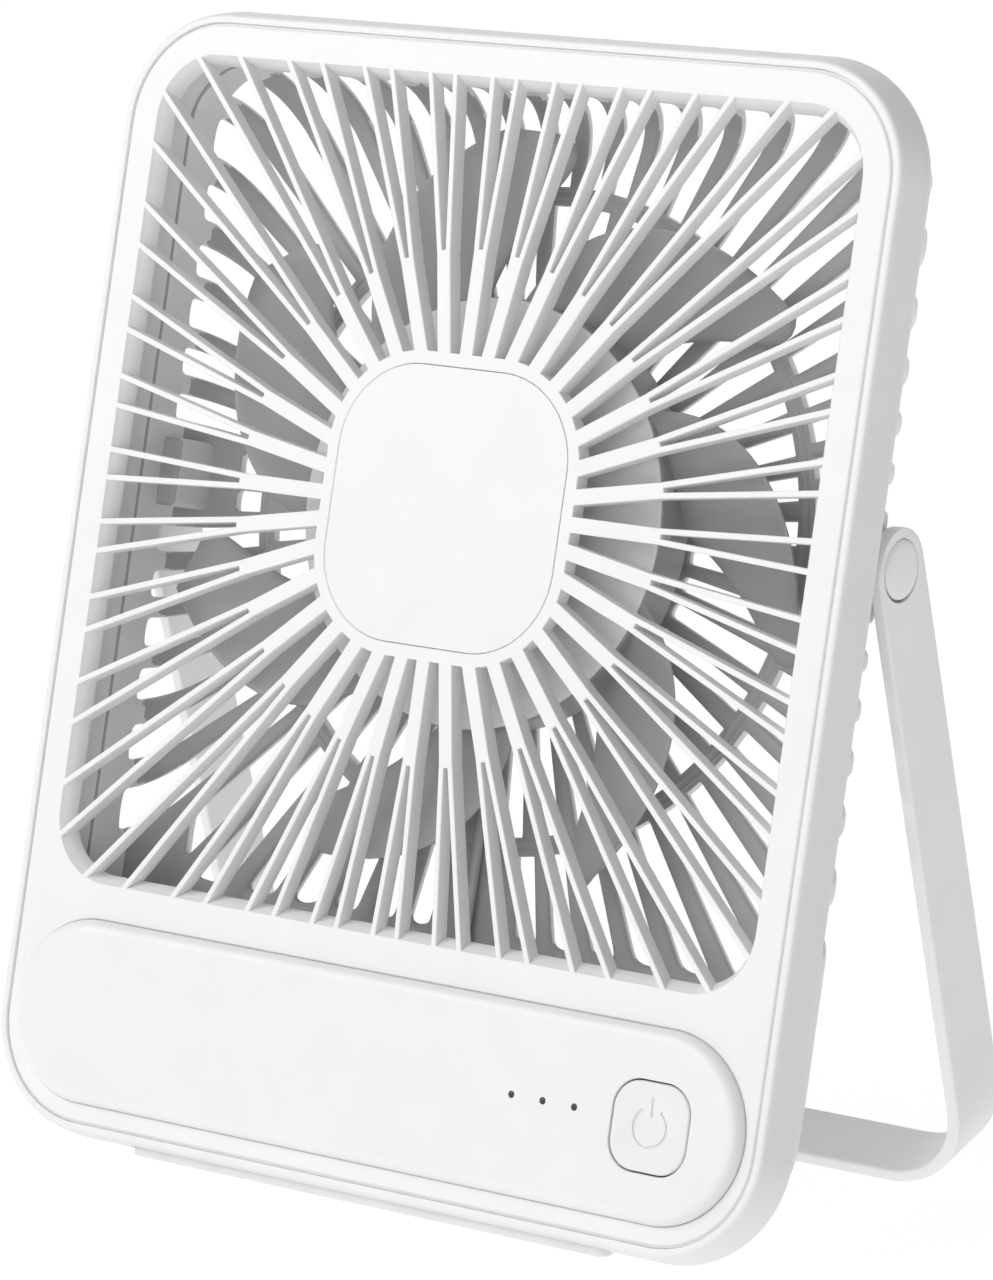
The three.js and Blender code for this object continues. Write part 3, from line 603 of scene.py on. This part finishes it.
# ---------- hub cap ----------
def hub_cap():
    shape = Shape()
    loops = [shape.loop(cap_outline(-g), d) for g, d in quarter(0.14, 3)]
    loops.append(shape.loop(cap_outline(0), 1.3))
    shape.stack(loops)
    shape.fill(loops[0])
    shape.cap(loops[-1])
    return shape


hub_cap().place("hub_cap_inlay", "housing", "cover", COVER, ["hub_cap"])


# ---------- raised control cover, button and lamps ----------
COVER_BACK = 1.6
BUTTON_GAP, BUTTON_RIM = 0.24, 0.22
LAMP_HOLE, LAMP_RIM = 0.56, 0.08


def button_outline(grow):
    size = BUTTON_SIZE + 2 * grow
    return rounded(size, size, BUTTON_CORNER + grow, BUTTON_CENTRE, 16)


def control_cover():
    shape = Shape()
    loops = [shape.loop(pill(0), COVER_BACK)]
    loops += [shape.loop(pill(g), d - RISE) for g, d in reversed(quarter(RISE, 10))]
    shape.stack(loops)
    front, back = [], []
    rims = [(lambda g: button_outline(BUTTON_GAP + g), BUTTON_RIM)]
    rims += [(lambda g, x=x: circle(LAMP_HOLE + g, (x, LED_Z)), LAMP_RIM) for x in LED_X]
    for outline, rim in rims:
        hole = [shape.loop(outline(g), d - RISE) for g, d in quarter(rim, 3)]
        hole.append(shape.loop(outline(0), COVER_BACK))
        shape.stack(hole)
        front.append(hole[0])
        back.append(hole[-1])
    shape.fill(loops[-1], front)
    shape.fill(loops[0], back)
    return shape


control_cover().place("control_cover_pad", "housing", "cover", COVER, ["control_cover"])

MARK_RADIUS = 2.95
MARK_HALF = 0.2
MARK_DEPTH = 0.3
MARK_SLOPE = 0.1  # width of the groove's sloping sides
MARK_GAP = math.radians(36)  # half of the opening at the top of the ring
BAR = (1.75, 4.3)
DISH, DISH_RADIUS = 0.42, 6.2  # how far the middle of the button is sunk, and how wide
KEY_COLUMNS = 288
KEY_EDGE = 0.4
CIRCLES_END, BLEND_WIDTH = 3.6, 2.0  # rows of the face turn from circles into the outline's shape here
FACE_RADIUS = 5.7
KEY_SKIRT, SKIRT_Y = 1.5, (2.5, 3.6)  # the flange that keeps the button in


def depth_of_mark(x, z):
    """Groove of the power mark: an open ring with a bar in its gap."""
    radius, angle = math.hypot(x, z), math.atan2(x, z)
    if abs(angle) > MARK_GAP:
        to_ring = abs(radius - MARK_RADIUS)
    else:
        end_x = math.copysign(math.sin(MARK_GAP), x) * MARK_RADIUS
        to_ring = math.hypot(x - end_x, z - math.cos(MARK_GAP) * MARK_RADIUS)
    to_bar = math.hypot(x, z - min(max(z, BAR[0]), BAR[1]))
    edge = min(max((MARK_HALF + 0.07 - min(to_ring, to_bar)) / MARK_SLOPE, 0), 1)
    return MARK_DEPTH * edge * edge * (3 - 2 * edge)


def key_outline(directions, grow):
    """Points of the button's outline in the directions from its middle."""
    size = (BUTTON_SIZE + 2 * grow, BUTTON_SIZE + 2 * grow, BUTTON_CORNER + grow)
    return directions * reach(np.zeros_like(directions), directions, size, (0, 0))[:, None]


def key_row(directions, lengths, radius):
    """A row of the button's face: a circle near its middle, and like its outline further out."""
    blend = min(max((radius - CIRCLES_END) / BLEND_WIDTH, 0), 1)
    points = directions * (radius * (1 - blend) + lengths * radius / FACE_RADIUS * blend)[:, None]
    depths = []
    for x, z in points:
        far = min(math.hypot(x, z) / DISH_RADIUS, 1)
        depths.append(-RISE + DISH * (1 - far * far) ** 1.5 + depth_of_mark(x, z))
    return points, depths


def power_button():
    shape = Shape()
    angles = np.arange(KEY_COLUMNS) * 2 * math.pi / KEY_COLUMNS
    directions = np.stack([np.cos(angles), np.sin(angles)], 1)
    centre = np.array(BUTTON_CENTRE)
    skirt = key_outline(directions, KEY_SKIRT) + centre
    levels = [shape.loop(skirt, SKIRT_Y[1]), shape.loop(skirt, SKIRT_Y[0])]
    levels.append(shape.loop(key_outline(directions, 0) + centre, SKIRT_Y[0]))
    for g, d in reversed(quarter(KEY_EDGE, 5)):
        levels.append(shape.loop(key_outline(directions, -g) + centre, d - RISE))
    lengths = np.hypot(*key_outline(directions, -KEY_EDGE).T)
    coarse, fine, middle = np.arange(5.6, 4.6, -0.2), np.arange(4.6, 1.5, -0.055), np.arange(1.5, 0.2, -0.25)
    for radius in np.concatenate([coarse, fine, middle]):
        points, depths = key_row(directions, lengths, radius)
        levels.append(shape.loop(points + centre, depths))
    shape.stack(levels)
    shape.cap(levels[-1])
    shape.cap(levels[0])
    return shape


power_button().place("power_button_key", "button", "button", BUTTON, ["power_button"])
for i, x in enumerate(LED_X):
    dome = [(0.08, -RISE + 0.02), (0.28, -RISE + 0.05), (0.43, -RISE + 0.16), (0.45, -RISE + 0.3)]
    pipe = [(0.45, 3.6), (1.2, 3.6), (1.2, 12.4), (0.1, 12.4)]
    lathe(dome + pipe, (x, 0, LED_Z), steps=24).place(
        f"lamp_window_{i + 1}", "housing", "led_window", WINDOW, [f"led_window_{i + 1}"],
    )


# ---------- tray ----------
def tray():
    """The band round the sides; its section is given as inset from the case outline, and depth."""
    section = [
        (2.6, 6.0), (2.6, 0.3), (2.5, 0.08), (2.28, 0.0), (1.95, 0.0), (1.66, 0.05), (1.42, 0.2),
        (1.22, 0.48), (1.08, 0.9), (0.94, 1.5), (0.66, 2.6), (0.4, 3.6), (0.18, 4.6), (0.04, 5.4),
        (0.0, 6.0), (0.05, 6.5), (0.2, 7.0), (0.48, 7.45), (0.85, 7.76), (1.3, 7.94), (1.8, 8.0),
        (8.1, 8.0), (8.1, 3.4), (6.5, 3.4), (6.5, 6.0),
    ]
    shape = Shape()
    loops = [shape.loop(case_outline(inset, 20), y) for inset, y in section]
    shape.stack(loops + loops[:1])
    return shape


def box_shape(low, high):
    shape = Shape()
    outline = np.array([(low[0], low[2]), (high[0], low[2]), (high[0], high[2]), (low[0], high[2])])
    loops = [shape.loop(outline, low[1]), shape.loop(outline, high[1])]
    shape.stack(loops)
    shape.cap(loops[0])
    shape.cap(loops[1])
    return shape


FOOT_SEAT = box_shape((-46.3, 3.3, -95), (46.3, 7.5, -89.8))
tray_piece = tray().place("tray_band", "housing", "shell", SHELL, ["mid_frame"], sharp=32)
cut(tray_piece, [FOOT_SEAT])


# ---------- foot ----------
FOOT_HALF, FOOT_Y, FOOT_TOP, FOOT_CORNER = 46.0, (3.6, 7.2), -90.1, 1.75
FOOT_MIDDLE = sum(FOOT_Y) / 2
FOOT_EDGE = ((0.35, 0.0), (0.16, 0.06), (0.06, 0.16), (0.0, 0.35))  # inset and lift, lowest first
GROUND_Z = -92.0  # the ground's height under the middle of the foot
LEAN = math.atan2(-BACK.z, BACK.y)


def ground(y):
    """Height of the ground at a depth, in the frame of the fan, which leans back."""
    return GROUND_Z + (y - FOOT_MIDDLE) * math.tan(LEAN)


def foot_outline(inset):
    depth = FOOT_Y[1] - FOOT_Y[0] - 2 * inset
    return rounded(2 * FOOT_HALF - 2 * inset, depth, FOOT_CORNER - inset, (0, FOOT_MIDDLE), 8)


def foot_strip():
    """A strip with rounded ends and rounded lower edges, cut to lie flat on the ground."""
    shape = Shape()
    loops = []
    for inset, lift in FOOT_EDGE:
        loops.append(shape.add([(x, y, ground(y) + lift) for x, y in foot_outline(inset)]))
    loops.append(shape.add([(x, y, FOOT_TOP) for x, y in foot_outline(0)]))
    shape.stack(loops)
    shape.cap(loops[0])
    shape.cap(loops[-1])
    return shape


foot_strip().place("foot_pad", "housing", "foot", FOOT, ["foot_strip"])

# ---------- rear shell ----------
STEP_INSET, DRUM_ROUND, REAR_Y, DRUM_FRONT = 6.1, 9.5, 25.0, 8.3
SLOT_START = 15.5  # the slots run down the sides to this depth
SLOT_FLOOR = -48.2
OUTER_COUNT, OUTER_SHARE = 60, 0.54
INNER_COUNT, INNER_SHARE = 45, 0.5
RING = (50.4, 52.6)
DISC = 31.0
SKIN = 2.1


def ray_reach(angles, inset):
    width, height, radius = CASE
    size = (width - 2 * inset, height - 2 * inset, max(radius - inset, 0.2))
    directions = np.stack([np.cos(angles), np.sin(angles)], 1)
    return reach(np.zeros_like(directions), directions, size, (0, -FAN_Z))


def polar_columns(count, share):
    """Angles of the columns: each slot has two edges and each rib a middle line."""
    pitch = 2 * math.pi / count
    columns, is_slot = [], []
    for i in range(count):
        middle = (i + 0.5) * pitch
        half = share * pitch / 2
        columns += [middle - half, middle + half, middle + pitch / 2]
        is_slot += [True, False, False]
    return np.array(columns), is_slot


def outer_rows(angles, slot_end):
    """Rows of the outer grille from its ring to the front of the drum, as radii and a depth."""
    flat_end = ray_reach(angles, STEP_INSET + DRUM_ROUND)
    start = RING[1]
    rows = [(np.full(len(angles), radius), REAR_Y) for radius in (RING[0] + 1.2, start, start + 0.8)]
    rows += [(start + (slot_end - start) * part, REAR_Y) for part in (0.35, 0.7)]
    rows += [(slot_end - 0.8, REAR_Y), (slot_end, REAR_Y)]
    slot_row = len(rows) - 1
    rows.append((np.maximum(flat_end - 0.4, slot_end + 0.4), REAR_Y))
    for step in range(1, 7):
        a = step / 6 * math.pi / 2
        inset = STEP_INSET + DRUM_ROUND * (1 - math.sin(a))
        rows.append((ray_reach(angles, inset), REAR_Y - DRUM_ROUND * (1 - math.cos(a))))
    side_row = len(rows) - 1
    side = ray_reach(angles, STEP_INSET)
    rows += [(side, y) for y in (SLOT_START - 0.8, 12.0, DRUM_FRONT + 0.6, DRUM_FRONT)]
    return rows, slot_row, side_row


def near_lead(middle, pitch):
    """Whether a slot is the one right behind the motor lead, which is left solid to hold it."""
    return abs(middle - 1.5 * math.pi) < pitch * 0.6


def outer_grille():
    """Ribs and slots round the ring; the slots run down the sides except at the lugs and the bay."""
    shape = Shape()
    angles, is_slot = polar_columns(OUTER_COUNT, OUTER_SHARE)
    pitch = 2 * math.pi / OUTER_COUNT
    sines = np.sin(angles)
    drop = np.where(sines < -0.05, (SLOT_FLOOR - FAN_Z) / np.minimum(sines, -0.05), 1e3)
    slot_end = np.minimum(ray_reach(angles, STEP_INSET + DRUM_ROUND) - 1.2, drop)
    rows, slot_row, side_row = outer_rows(angles, slot_end)
    loops = []
    for radius, y in rows:
        outline = np.stack([radius * np.cos(angles), radius * sines + FAN_Z], 1)
        loops.append(shape.loop(outline, y))
    side = ray_reach(angles, STEP_INSET)
    for row, (one, two) in enumerate(zip(loops, loops[1:])):
        for i in range(len(angles)):
            j = (i + 1) % len(angles)
            middle = angles[i] + OUTER_SHARE * pitch / 2
            over_bay = drop[i] < side[i] or drop[j] < side[j]
            by_lug = abs(math.sin(middle)) < math.sin(pitch * 0.6)
            last = slot_row if (over_bay or by_lug) else side_row
            if is_slot[i] and 1 <= row < last and not near_lead(middle, pitch):
                continue
            shape.faces.append((one[i], one[j], two[j], two[i]))
    return shape


def inner_grille():
    """Ribs and slots between the middle disc and the ring."""
    shape = Shape()
    angles, is_slot = polar_columns(INNER_COUNT, INNER_SHARE)
    radii = (4.0, 16.0, DISC - 1.2, DISC, DISC + 0.7, 37.0, 44.0, RING[0] - 0.7, RING[0], RING[0] + 1.2)
    loops = []
    for radius in radii:
        outline = np.stack([radius * np.cos(angles), radius * np.sin(angles) + FAN_Z], 1)
        loops.append(shape.loop(outline, REAR_Y))
    pitch = 2 * math.pi / INNER_COUNT
    for row, (one, two) in enumerate(zip(loops, loops[1:])):
        for i in range(len(angles)):
            j = (i + 1) % len(angles)
            middle = angles[i] + INNER_SHARE * pitch / 2
            if is_slot[i] and 3 <= row < 8 and not near_lead(middle, pitch):
                continue
            shape.faces.append((one[i], one[j], two[j], two[i]))
    shape.cap(loops[0])
    return shape


def thicken(piece, thickness, levels):
    """Gives a skin its thickness towards the front and rounds it."""
    solid = piece.modifiers.new("skin", "SOLIDIFY")
    solid.thickness = thickness / 1000
    solid.offset = -1
    solid.use_even_offset = True
    smooth = piece.modifiers.new("round", "SUBSURF")
    smooth.levels = smooth.render_levels = levels
    graph = bpy.context.evaluated_depsgraph_get()
    result = bpy.data.meshes.new_from_object(piece.evaluated_get(graph))
    piece.modifiers.clear()
    piece.data = result
    result.shade_smooth()


def paint_shade_inside(piece):
    """Paints shade on the faces that look towards the front: they get the darker painted-shade copy of the
    rear plastic.
    """
    piece.data.materials.append(REAR_PAINTED_SHADE)
    for polygon in piece.data.polygons:
        if polygon.normal.dot(BACK) < -0.25:
            polygon.material_index = 1


def skin_piece(shape, name):
    """Places a one-sided skin with its outside facing the back."""
    piece = shape.place(name, "housing", "shell", REAR, sharp=0)
    piece.modifiers.clear()
    work = bmesh.new()
    work.from_mesh(piece.data)
    bmesh.ops.recalc_face_normals(work, faces=work.faces)
    work.faces.ensure_lookup_table()
    top = max(work.faces, key=lambda f: f.calc_center_median().dot(BACK))
    if top.normal.dot(BACK) < 0:
        bmesh.ops.reverse_faces(work, faces=work.faces)
    work.to_mesh(piece.data)
    work.free()
    thicken(piece, SKIN, 2)
    return piece


rear_outer = skin_piece(outer_grille(), "rear_shell")
rear_inner = skin_piece(inner_grille(), "rear_grille_disc")
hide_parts("rear_cover")

COVER_SCREWS = ((-60.0, -57.6), (8.2, -79.4))
SCREW_HOLE = [(1.6, 15), (1.6, 23.1), (2.6, 23.1), (2.6, 24.8), (3.1, 25.3)]
USB = (30.0, -73.0)


def usb_opening(grow):
    return rounded(9 + 2 * grow, 3.3 + 2 * grow, 1.65 + grow - 0.01, USB, 10)


def closed_prism(outlines_and_depths):
    shape = Shape()
    loops = [shape.loop(outline, y) for outline, y in outlines_and_depths]
    shape.stack(loops)
    shape.cap(loops[0])
    shape.cap(loops[-1])
    return shape


rear_cuts = [closed_prism([(usb_opening(0.3), 20), (usb_opening(0.3), 24.7), (usb_opening(1.0), 25.4)])]
rear_cuts += [lathe(SCREW_HOLE, (x, 0, z), steps=32) for x, z in COVER_SCREWS]
cut(rear_outer, rear_cuts)
# Painted shade on the inward faces of the rear shell and its middle disc
paint_shade_inside(rear_outer)
paint_shade_inside(rear_inner)


def grille_ring():
    """Raised ring that joins the inner and the outer ribs."""
    shape = Shape()
    section = [(50.0, 23.1), (50.0, 24.7), (50.25, 25.02), (50.7, 25.12), (52.3, 25.12), (52.75, 25.02),
               (53.0, 24.7), (53.0, 23.1)]
    loops = [shape.loop(circle(radius, FAN_CENTRE, 180), y) for radius, y in section]
    shape.stack(loops + loops[:1])
    return shape


# Painted shade on the ring's inward faces
paint_shade_inside(grille_ring().place("rear_grille_ring", "housing", "shell", REAR, sharp=50))


def soft_block(x0, x1, y0, y1, z0, z1, edge):
    """A block with rounded outlines and rounded front and rear edges."""
    shape = Shape()
    centre = ((x0 + x1) / 2, (z0 + z1) / 2)

    def outline(inset):
        corner = edge - min(inset, edge - 0.05)
        return rounded(x1 - x0 - 2 * inset, z1 - z0 - 2 * inset, corner, centre, 6)

    loops = [shape.loop(outline(g), y0 + d) for g, d in quarter(edge * 0.7)]
    loops += [shape.loop(outline(g), y1 - d) for g, d in reversed(quarter(edge * 0.7))]
    shape.stack(loops)
    shape.cap(loops[0])
    shape.cap(loops[-1])
    return shape


PIVOT_Y, PIVOT_Z = 18.7, 16.7
PIN_HOLE = 2.3
LUG_X, LUG_Y, LUG_HALF, LUG_EDGE = (62.9, 68.6), (13.0, 24.9), 5.6, 1.1
for label, side in (("left", -1), ("right", 1)):
    low, high = sorted((side * LUG_X[0], side * LUG_X[1]))
    lug = soft_block(low, high, *LUG_Y, PIVOT_Z - LUG_HALF, PIVOT_Z + LUG_HALF, LUG_EDGE)
    lug_piece = lug.place(f"pivot_lug_{label}", "housing", "shell", REAR)
    bore = [(PIN_HOLE, x) for x in sorted((side * 64.0, side * 72.0))]
    cut(lug_piece, [lathe(bore, (0, PIVOT_Y, PIVOT_Z), "X", 32)])
    # Painted shade on the lug's inward faces
    paint_shade_inside(lug_piece)

BAY_WALL_Z = (-54.4, -52.6)


def bay_wall():
    """The wall over the battery, narrower where the shell rounds off at the back."""
    wall = soft_block(-66, 66, 3.7, 15.5, *BAY_WALL_Z, 0.5)
    wall.merge(soft_block(-61.5, 61.5, 12.0, 23.2, *BAY_WALL_Z, 0.5))
    return wall


# The whole bay wall takes the darker painted-shade plastic, standing in for the shade inside the shell
bay_wall().place("battery_bay_wall", "housing", "shell", REAR_PAINTED_SHADE)

# ---------- screws, socket and lead that show at the back ----------
SCREW_SHANK = [(0.3, 4.5), (0.9, 5.2), (1.2, 6.0), (1.2, 23.2)]
SCREW_HEAD = [(2.05, 23.9), (2.2, 24.05), (2.1, 24.22), (1.2, 24.3), (0.5, 24.3), (0.45, 23.7), (0.1, 23.6)]
for i, (x, z) in enumerate(COVER_SCREWS):
    lathe(SCREW_SHANK + SCREW_HEAD, (x, 0, z), steps=32).place(
        f"cover_screw_head_{i + 1}", "housing", "steel", STEEL, [f"cover_screw_{i + 1}"],
    )


def usb_socket():
    shape = Shape()
    outside = [shape.loop(usb_opening(g), y) for g, y in ((0, 16.1), (0, 24.5), (-0.08, 24.6))]
    inside = [shape.loop(usb_opening(g), y) for g, y in ((-0.27, 24.6), (-0.35, 24.5), (-0.35, 16.9))]
    shape.stack(outside + inside)
    shape.cap(outside[0])
    shape.cap(inside[-1])
    return shape


usb_socket().place("charging_socket", "housing", "steel", STEEL, ["usb_socket"])


def usb_tongue():
    return soft_block(USB[0] - 3.3, USB[0] + 3.3, 17.2, 23.6, USB[1] - 0.35, USB[1] + 0.35, 0.16)


usb_tongue().place("charging_tongue", "housing", "black", BLACK, ["usb_tongue"])


def smooth_path(points, per_span=10):
    """Catmull-Rom points through the given ones."""
    p = np.array(points, float)
    p = np.vstack([2 * p[0] - p[1], p, 2 * p[-1] - p[-2]])
    out = []
    for i in range(1, len(p) - 2):
        for step in range(per_span):
            t = step / per_span
            a, b, c, d = p[i - 1:i + 3]
            out.append(0.5 * (2 * b + (c - a) * t + (2 * a - 5 * b + 4 * c - d) * t ** 2
                              + (3 * b - a - 3 * c + d) * t ** 3))
    out.append(p[-2])
    return np.array(out)


def lead(points, radius, steps=14):
    path = smooth_path(points)
    shape = Shape()
    loops = []
    across = np.array([0.0, 1.0, 0.0])
    for i, point in enumerate(path):
        ahead = path[min(i + 1, len(path) - 1)] - path[max(i - 1, 0)]
        ahead = ahead / np.linalg.norm(ahead)
        across = across - ahead * across.dot(ahead)
        across = across / np.linalg.norm(across)
        other = np.cross(ahead, across)
        angles = np.arange(steps) * 2 * math.pi / steps
        ring = point + radius * (np.cos(angles)[:, None] * across + np.sin(angles)[:, None] * other)
        loops.append(shape.add(ring))
    shape.stack(loops)
    shape.cap(loops[0])
    shape.cap(loops[-1])
    return shape


MOTOR_LEAD = [
    (0, 21.9, -0.4), (0, 21.9, -12), (0, 21.9, -42), (0, 21.4, -53.4), (2, 20.6, -57.6), (8, 18.4, -60),
    (15, 17.1, -60.5),
]
lead(MOTOR_LEAD, 0.8).place("motor_lead_round", "housing", "lead_black", LEAD_SLEEVE, ["motor_lead"])

# ---------- impeller ----------
BLADES_COUNT, HUB_RADIUS, TIP_RADIUS = 7, 34.0, 60.5
HUB_FRONT, HUB_REAR = 9.5, 17.4
BLADE_THICK = 1.5


def blade_front_angle(radius):
    out = (radius - HUB_RADIUS) / (TIP_RADIUS - HUB_RADIUS)
    return 34 - 22 * out - 20 * max(out, 0) ** 3


def blade_rear_angle(radius):
    out = (radius - HUB_RADIUS) / (TIP_RADIUS - HUB_RADIUS)
    return 2 - 24.6 * out + 8 * max(out, 0) ** 9


def blade(turn):
    shape = Shape()
    span, chord = 26, 18
    loops = []
    for i in range(span + 1):
        part = i / span
        radius = HUB_RADIUS - 0.9 + (TIP_RADIUS - HUB_RADIUS + 0.9) * part
        front, rear = blade_front_angle(radius), blade_rear_angle(radius)
        tip_round = math.sqrt(max(1 - max((part - 0.97) / 0.03, 0) ** 2, 0.02))
        face, back = [], []
        for j in range(chord + 1):
            t = 0.5 - 0.5 * math.cos(math.pi * j / chord)
            angle = math.radians(front + (rear - front) * t + turn)
            middle = HUB_FRONT + 0.6 + (HUB_REAR - HUB_FRONT - 1.5) * t
            edge = math.sqrt(max(1 - (2 * t - 1) ** 16, 0))
            half = BLADE_THICK / 2 * (0.6 + 0.4 * math.sin(math.pi * t)) * edge * tip_round
            x, z = radius * math.cos(angle), radius * math.sin(angle) + FAN_Z
            face.append((x, middle - half, z))
            back.append((x, middle + half, z))
        loops.append(shape.add(face + back[::-1][1:-1]))
    shape.stack(loops)
    shape.cap(loops[0])
    shape.cap(loops[-1])
    return shape


def impeller():
    """The hub with its blades, and how many of the faces are the hub's."""
    profile = [
        (0.5, HUB_FRONT), (14, HUB_FRONT), (33, HUB_FRONT), (33.4, HUB_FRONT + 0.06),
        (33.75, HUB_FRONT + 0.25), (33.95, HUB_FRONT + 0.6), (34, HUB_FRONT + 1), (34, HUB_FRONT + 3),
        (34, HUB_REAR - 0.2),
        (33.8, HUB_REAR), (32.6, HUB_REAR), (32.4, HUB_REAR - 0.2), (32.4, HUB_FRONT + 2.6),
        (31.8, HUB_FRONT + 2.05), (16.2, HUB_FRONT + 2), (16.2, HUB_REAR - 1.0), (14.6, HUB_REAR - 1.0),
        (14.6, HUB_FRONT + 2), (0.5, HUB_FRONT + 2),
    ]
    shape = lathe(profile, (0, 0, FAN_Z), steps=96)
    hub_faces = len(shape.faces)
    for i in range(BLADES_COUNT):
        shape.merge(blade(360 / BLADES_COUNT * i))
    return shape, hub_faces


rotor_shape, rotor_hub_faces = impeller()
rotor = rotor_shape.place("impeller_blades", "impeller", "blades", BLADES, ["impeller"], sharp=40)
rotor.data.materials.append(ROTOR_HUB)
for polygon in rotor.data.polygons[:rotor_hub_faces]:
    if abs(polygon.normal.dot(BACK)) > 0.6:
        polygon.material_index = 1

# ---------- stand ----------
STRAP_HALF, STRAP_THICK, STRAP_EDGE = 6.4, 2.2, 0.55
STRAP_X = 72.0  # outer face of each arm
STRAP_LENGTH, STRAP_BEND = 106.4, 15.2
RECESS_Y, RECESS_Z = PIVOT_Y - 0.26, PIVOT_Z - 0.16  # the caps sit a little off the recesses' middles
CAP_DOME = [
    (0.3, 72.16), (2.0, 72.15), (3.4, 72.1), (4.1, 72.02), (4.45, 71.88), (4.6, 71.7), (4.6, 71.5),
    (0.3, 71.5),
]
OPEN_ANGLE = math.radians(29.55)


def strap_section():
    """Section of the strap: distance in from the outer face, and place across its width."""
    return rounded(STRAP_THICK, 2 * STRAP_HALF, STRAP_EDGE, (STRAP_THICK / 2, 0), 5)


def strap_path():
    """Points down one arm, round the bends and up the other: place, outward normal, width share."""
    path = []
    for i in range(17):
        a = math.pi / 2 * i / 16
        path.append(((STRAP_X, STRAP_HALF * math.cos(a)), (1, 0), max(math.sin(a), 0.12)))
    bottom = -STRAP_LENGTH
    for part in (0.25, 0.5, 0.75, 1):
        path.append(((STRAP_X, (bottom + STRAP_BEND) * part), (1, 0), 1))
    for i in range(1, 17):
        a = math.pi / 2 * i / 16
        centre = (STRAP_X - STRAP_BEND, bottom + STRAP_BEND)
        normal = (math.cos(a), -math.sin(a))
        path.append(((centre[0] + STRAP_BEND * normal[0], centre[1] + STRAP_BEND * normal[1]), normal, 1))
    mirrored = [((-x, z), (-nx, nz), w) for (x, z), (nx, nz), w in reversed(path)]
    return path + [((0, bottom), (0, -1), 1)] + mirrored


def stand():
    shape = Shape()
    section = strap_section()
    cos, sin = math.cos(OPEN_ANGLE), math.sin(OPEN_ANGLE)
    loops = []
    for (x, z), (nx, nz), share in strap_path():
        ring = []
        for inward, across in section:
            px, pz, py = x - nx * inward, z - nz * inward, across * share
            ring.append((px, PIVOT_Y + py * cos - pz * sin, PIVOT_Z + py * sin + pz * cos))
        loops.append(shape.add(ring))
    shape.stack(loops)
    shape.cap(loops[0])
    shape.cap(loops[-1])
    return shape


stand_piece = stand().place("stand_strap", "stand", "strap", STRAP, ["stand"], sharp=40)
for side in (-1, 1):
    recess = sorted(((4.85, side * 70.6), (4.95, side * 72.2)), key=lambda p: p[1])
    hole = sorted(((PIN_HOLE, side * 69.0), (PIN_HOLE, side * 71.0)), key=lambda p: p[1])
    cut(stand_piece, [
        lathe(recess, (0, RECESS_Y, RECESS_Z), "X", 64), lathe(hole, (0, PIVOT_Y, PIVOT_Z), "X", 32),
    ])

for label, side in (("left", -1), ("right", 1)):
    dome = [(radius, side * x) for radius, x in CAP_DOME]
    lathe(dome, (0, PIVOT_Y, PIVOT_Z), "X", 64).place(
        f"pivot_cap_dome_{label}", "stand", "strap", STRAP, [f"pivot_cap_{label}"],
    )

# ---------- floor and light ----------
FLOOR_GLOW = 0.94  # a table of lit white acrylic
FLOOR_HALF = 30.0  # in metres, so that its far edge is lost in the white background
SKY_BEHIND, SKY_AROUND = 1.0, 0.34
KEY_POWER, FILL_POWER = 14, 5


def floor():
    mesh = bpy.data.meshes.new("floor")
    corners = [(x * FLOOR_HALF, y * FLOOR_HALF, 0) for x, y in ((-1, -1), (1, -1), (1, 1), (-1, 1))]
    mesh.from_pydata(corners, [], [(0, 1, 2, 3)])
    n = Nodes("pale_floor")
    grain = n.tint(n.noise(160, 2), (0.085, 0.085, 0.085), (0.095, 0.095, 0.095))
    n.link(grain, n.shader.inputs["Base Color"])
    n.shader.inputs["Emission Color"].default_value = (1, 1, 1, 1)
    n.shader.inputs["Emission Strength"].default_value = FLOOR_GLOW
    n.shader.inputs["Roughness"].default_value = 0.9
    n.shader.inputs["Specular IOR Level"].default_value = 0.1
    mesh.materials.append(n.material)
    piece = bpy.data.objects.new("floor", mesh)
    bpy.context.scene.collection.objects.link(piece)


floor()


def area_light(name, place, target, size, power):
    data = bpy.data.lights.new(name, "AREA")
    data.energy = power
    data.size = size
    data.shape = "SQUARE"
    light = bpy.data.objects.new(name, data)
    light.location = place
    light.rotation_euler = (Vector(target) - Vector(place)).to_track_quat("-Z", "Y").to_euler()
    bpy.context.scene.collection.objects.link(light)


TARGET = (0, 0, 0.09)
area_light("key", (-0.7, -1.05, 1.0), TARGET, 1.2, KEY_POWER)
area_light("fill", (0.55, -1.5, 0.3), TARGET, 0.8, FILL_POWER)


def add_sky():
    """White behind the fan and dimmer towards the viewer."""
    world = bpy.data.worlds.new("studio")
    world.use_nodes = True
    nodes, links = world.node_tree.nodes, world.node_tree.links
    place = nodes.new("ShaderNodeTexCoord")
    along = nodes.new("ShaderNodeVectorMath")
    along.operation = "DOT_PRODUCT"
    along.inputs[1].default_value = (-0.56, 0.82, 0.0)
    ramp = nodes.new("ShaderNodeValToRGB")
    ramp.color_ramp.elements[0].position = 0.35
    ramp.color_ramp.elements[0].color = (SKY_AROUND, SKY_AROUND, SKY_AROUND, 1)
    ramp.color_ramp.elements[1].position = 0.85
    ramp.color_ramp.elements[1].color = (SKY_BEHIND, SKY_BEHIND, SKY_BEHIND, 1)
    links.new(place.outputs["Generated"], along.inputs[0])
    links.new(along.outputs["Value"], ramp.inputs["Fac"])
    links.new(ramp.outputs["Color"], nodes["Background"].inputs["Color"])
    nodes["Background"].inputs["Strength"].default_value = 1.02
    bpy.context.scene.world = world


add_sky()
bpy.context.scene.view_settings.view_transform = "Standard"
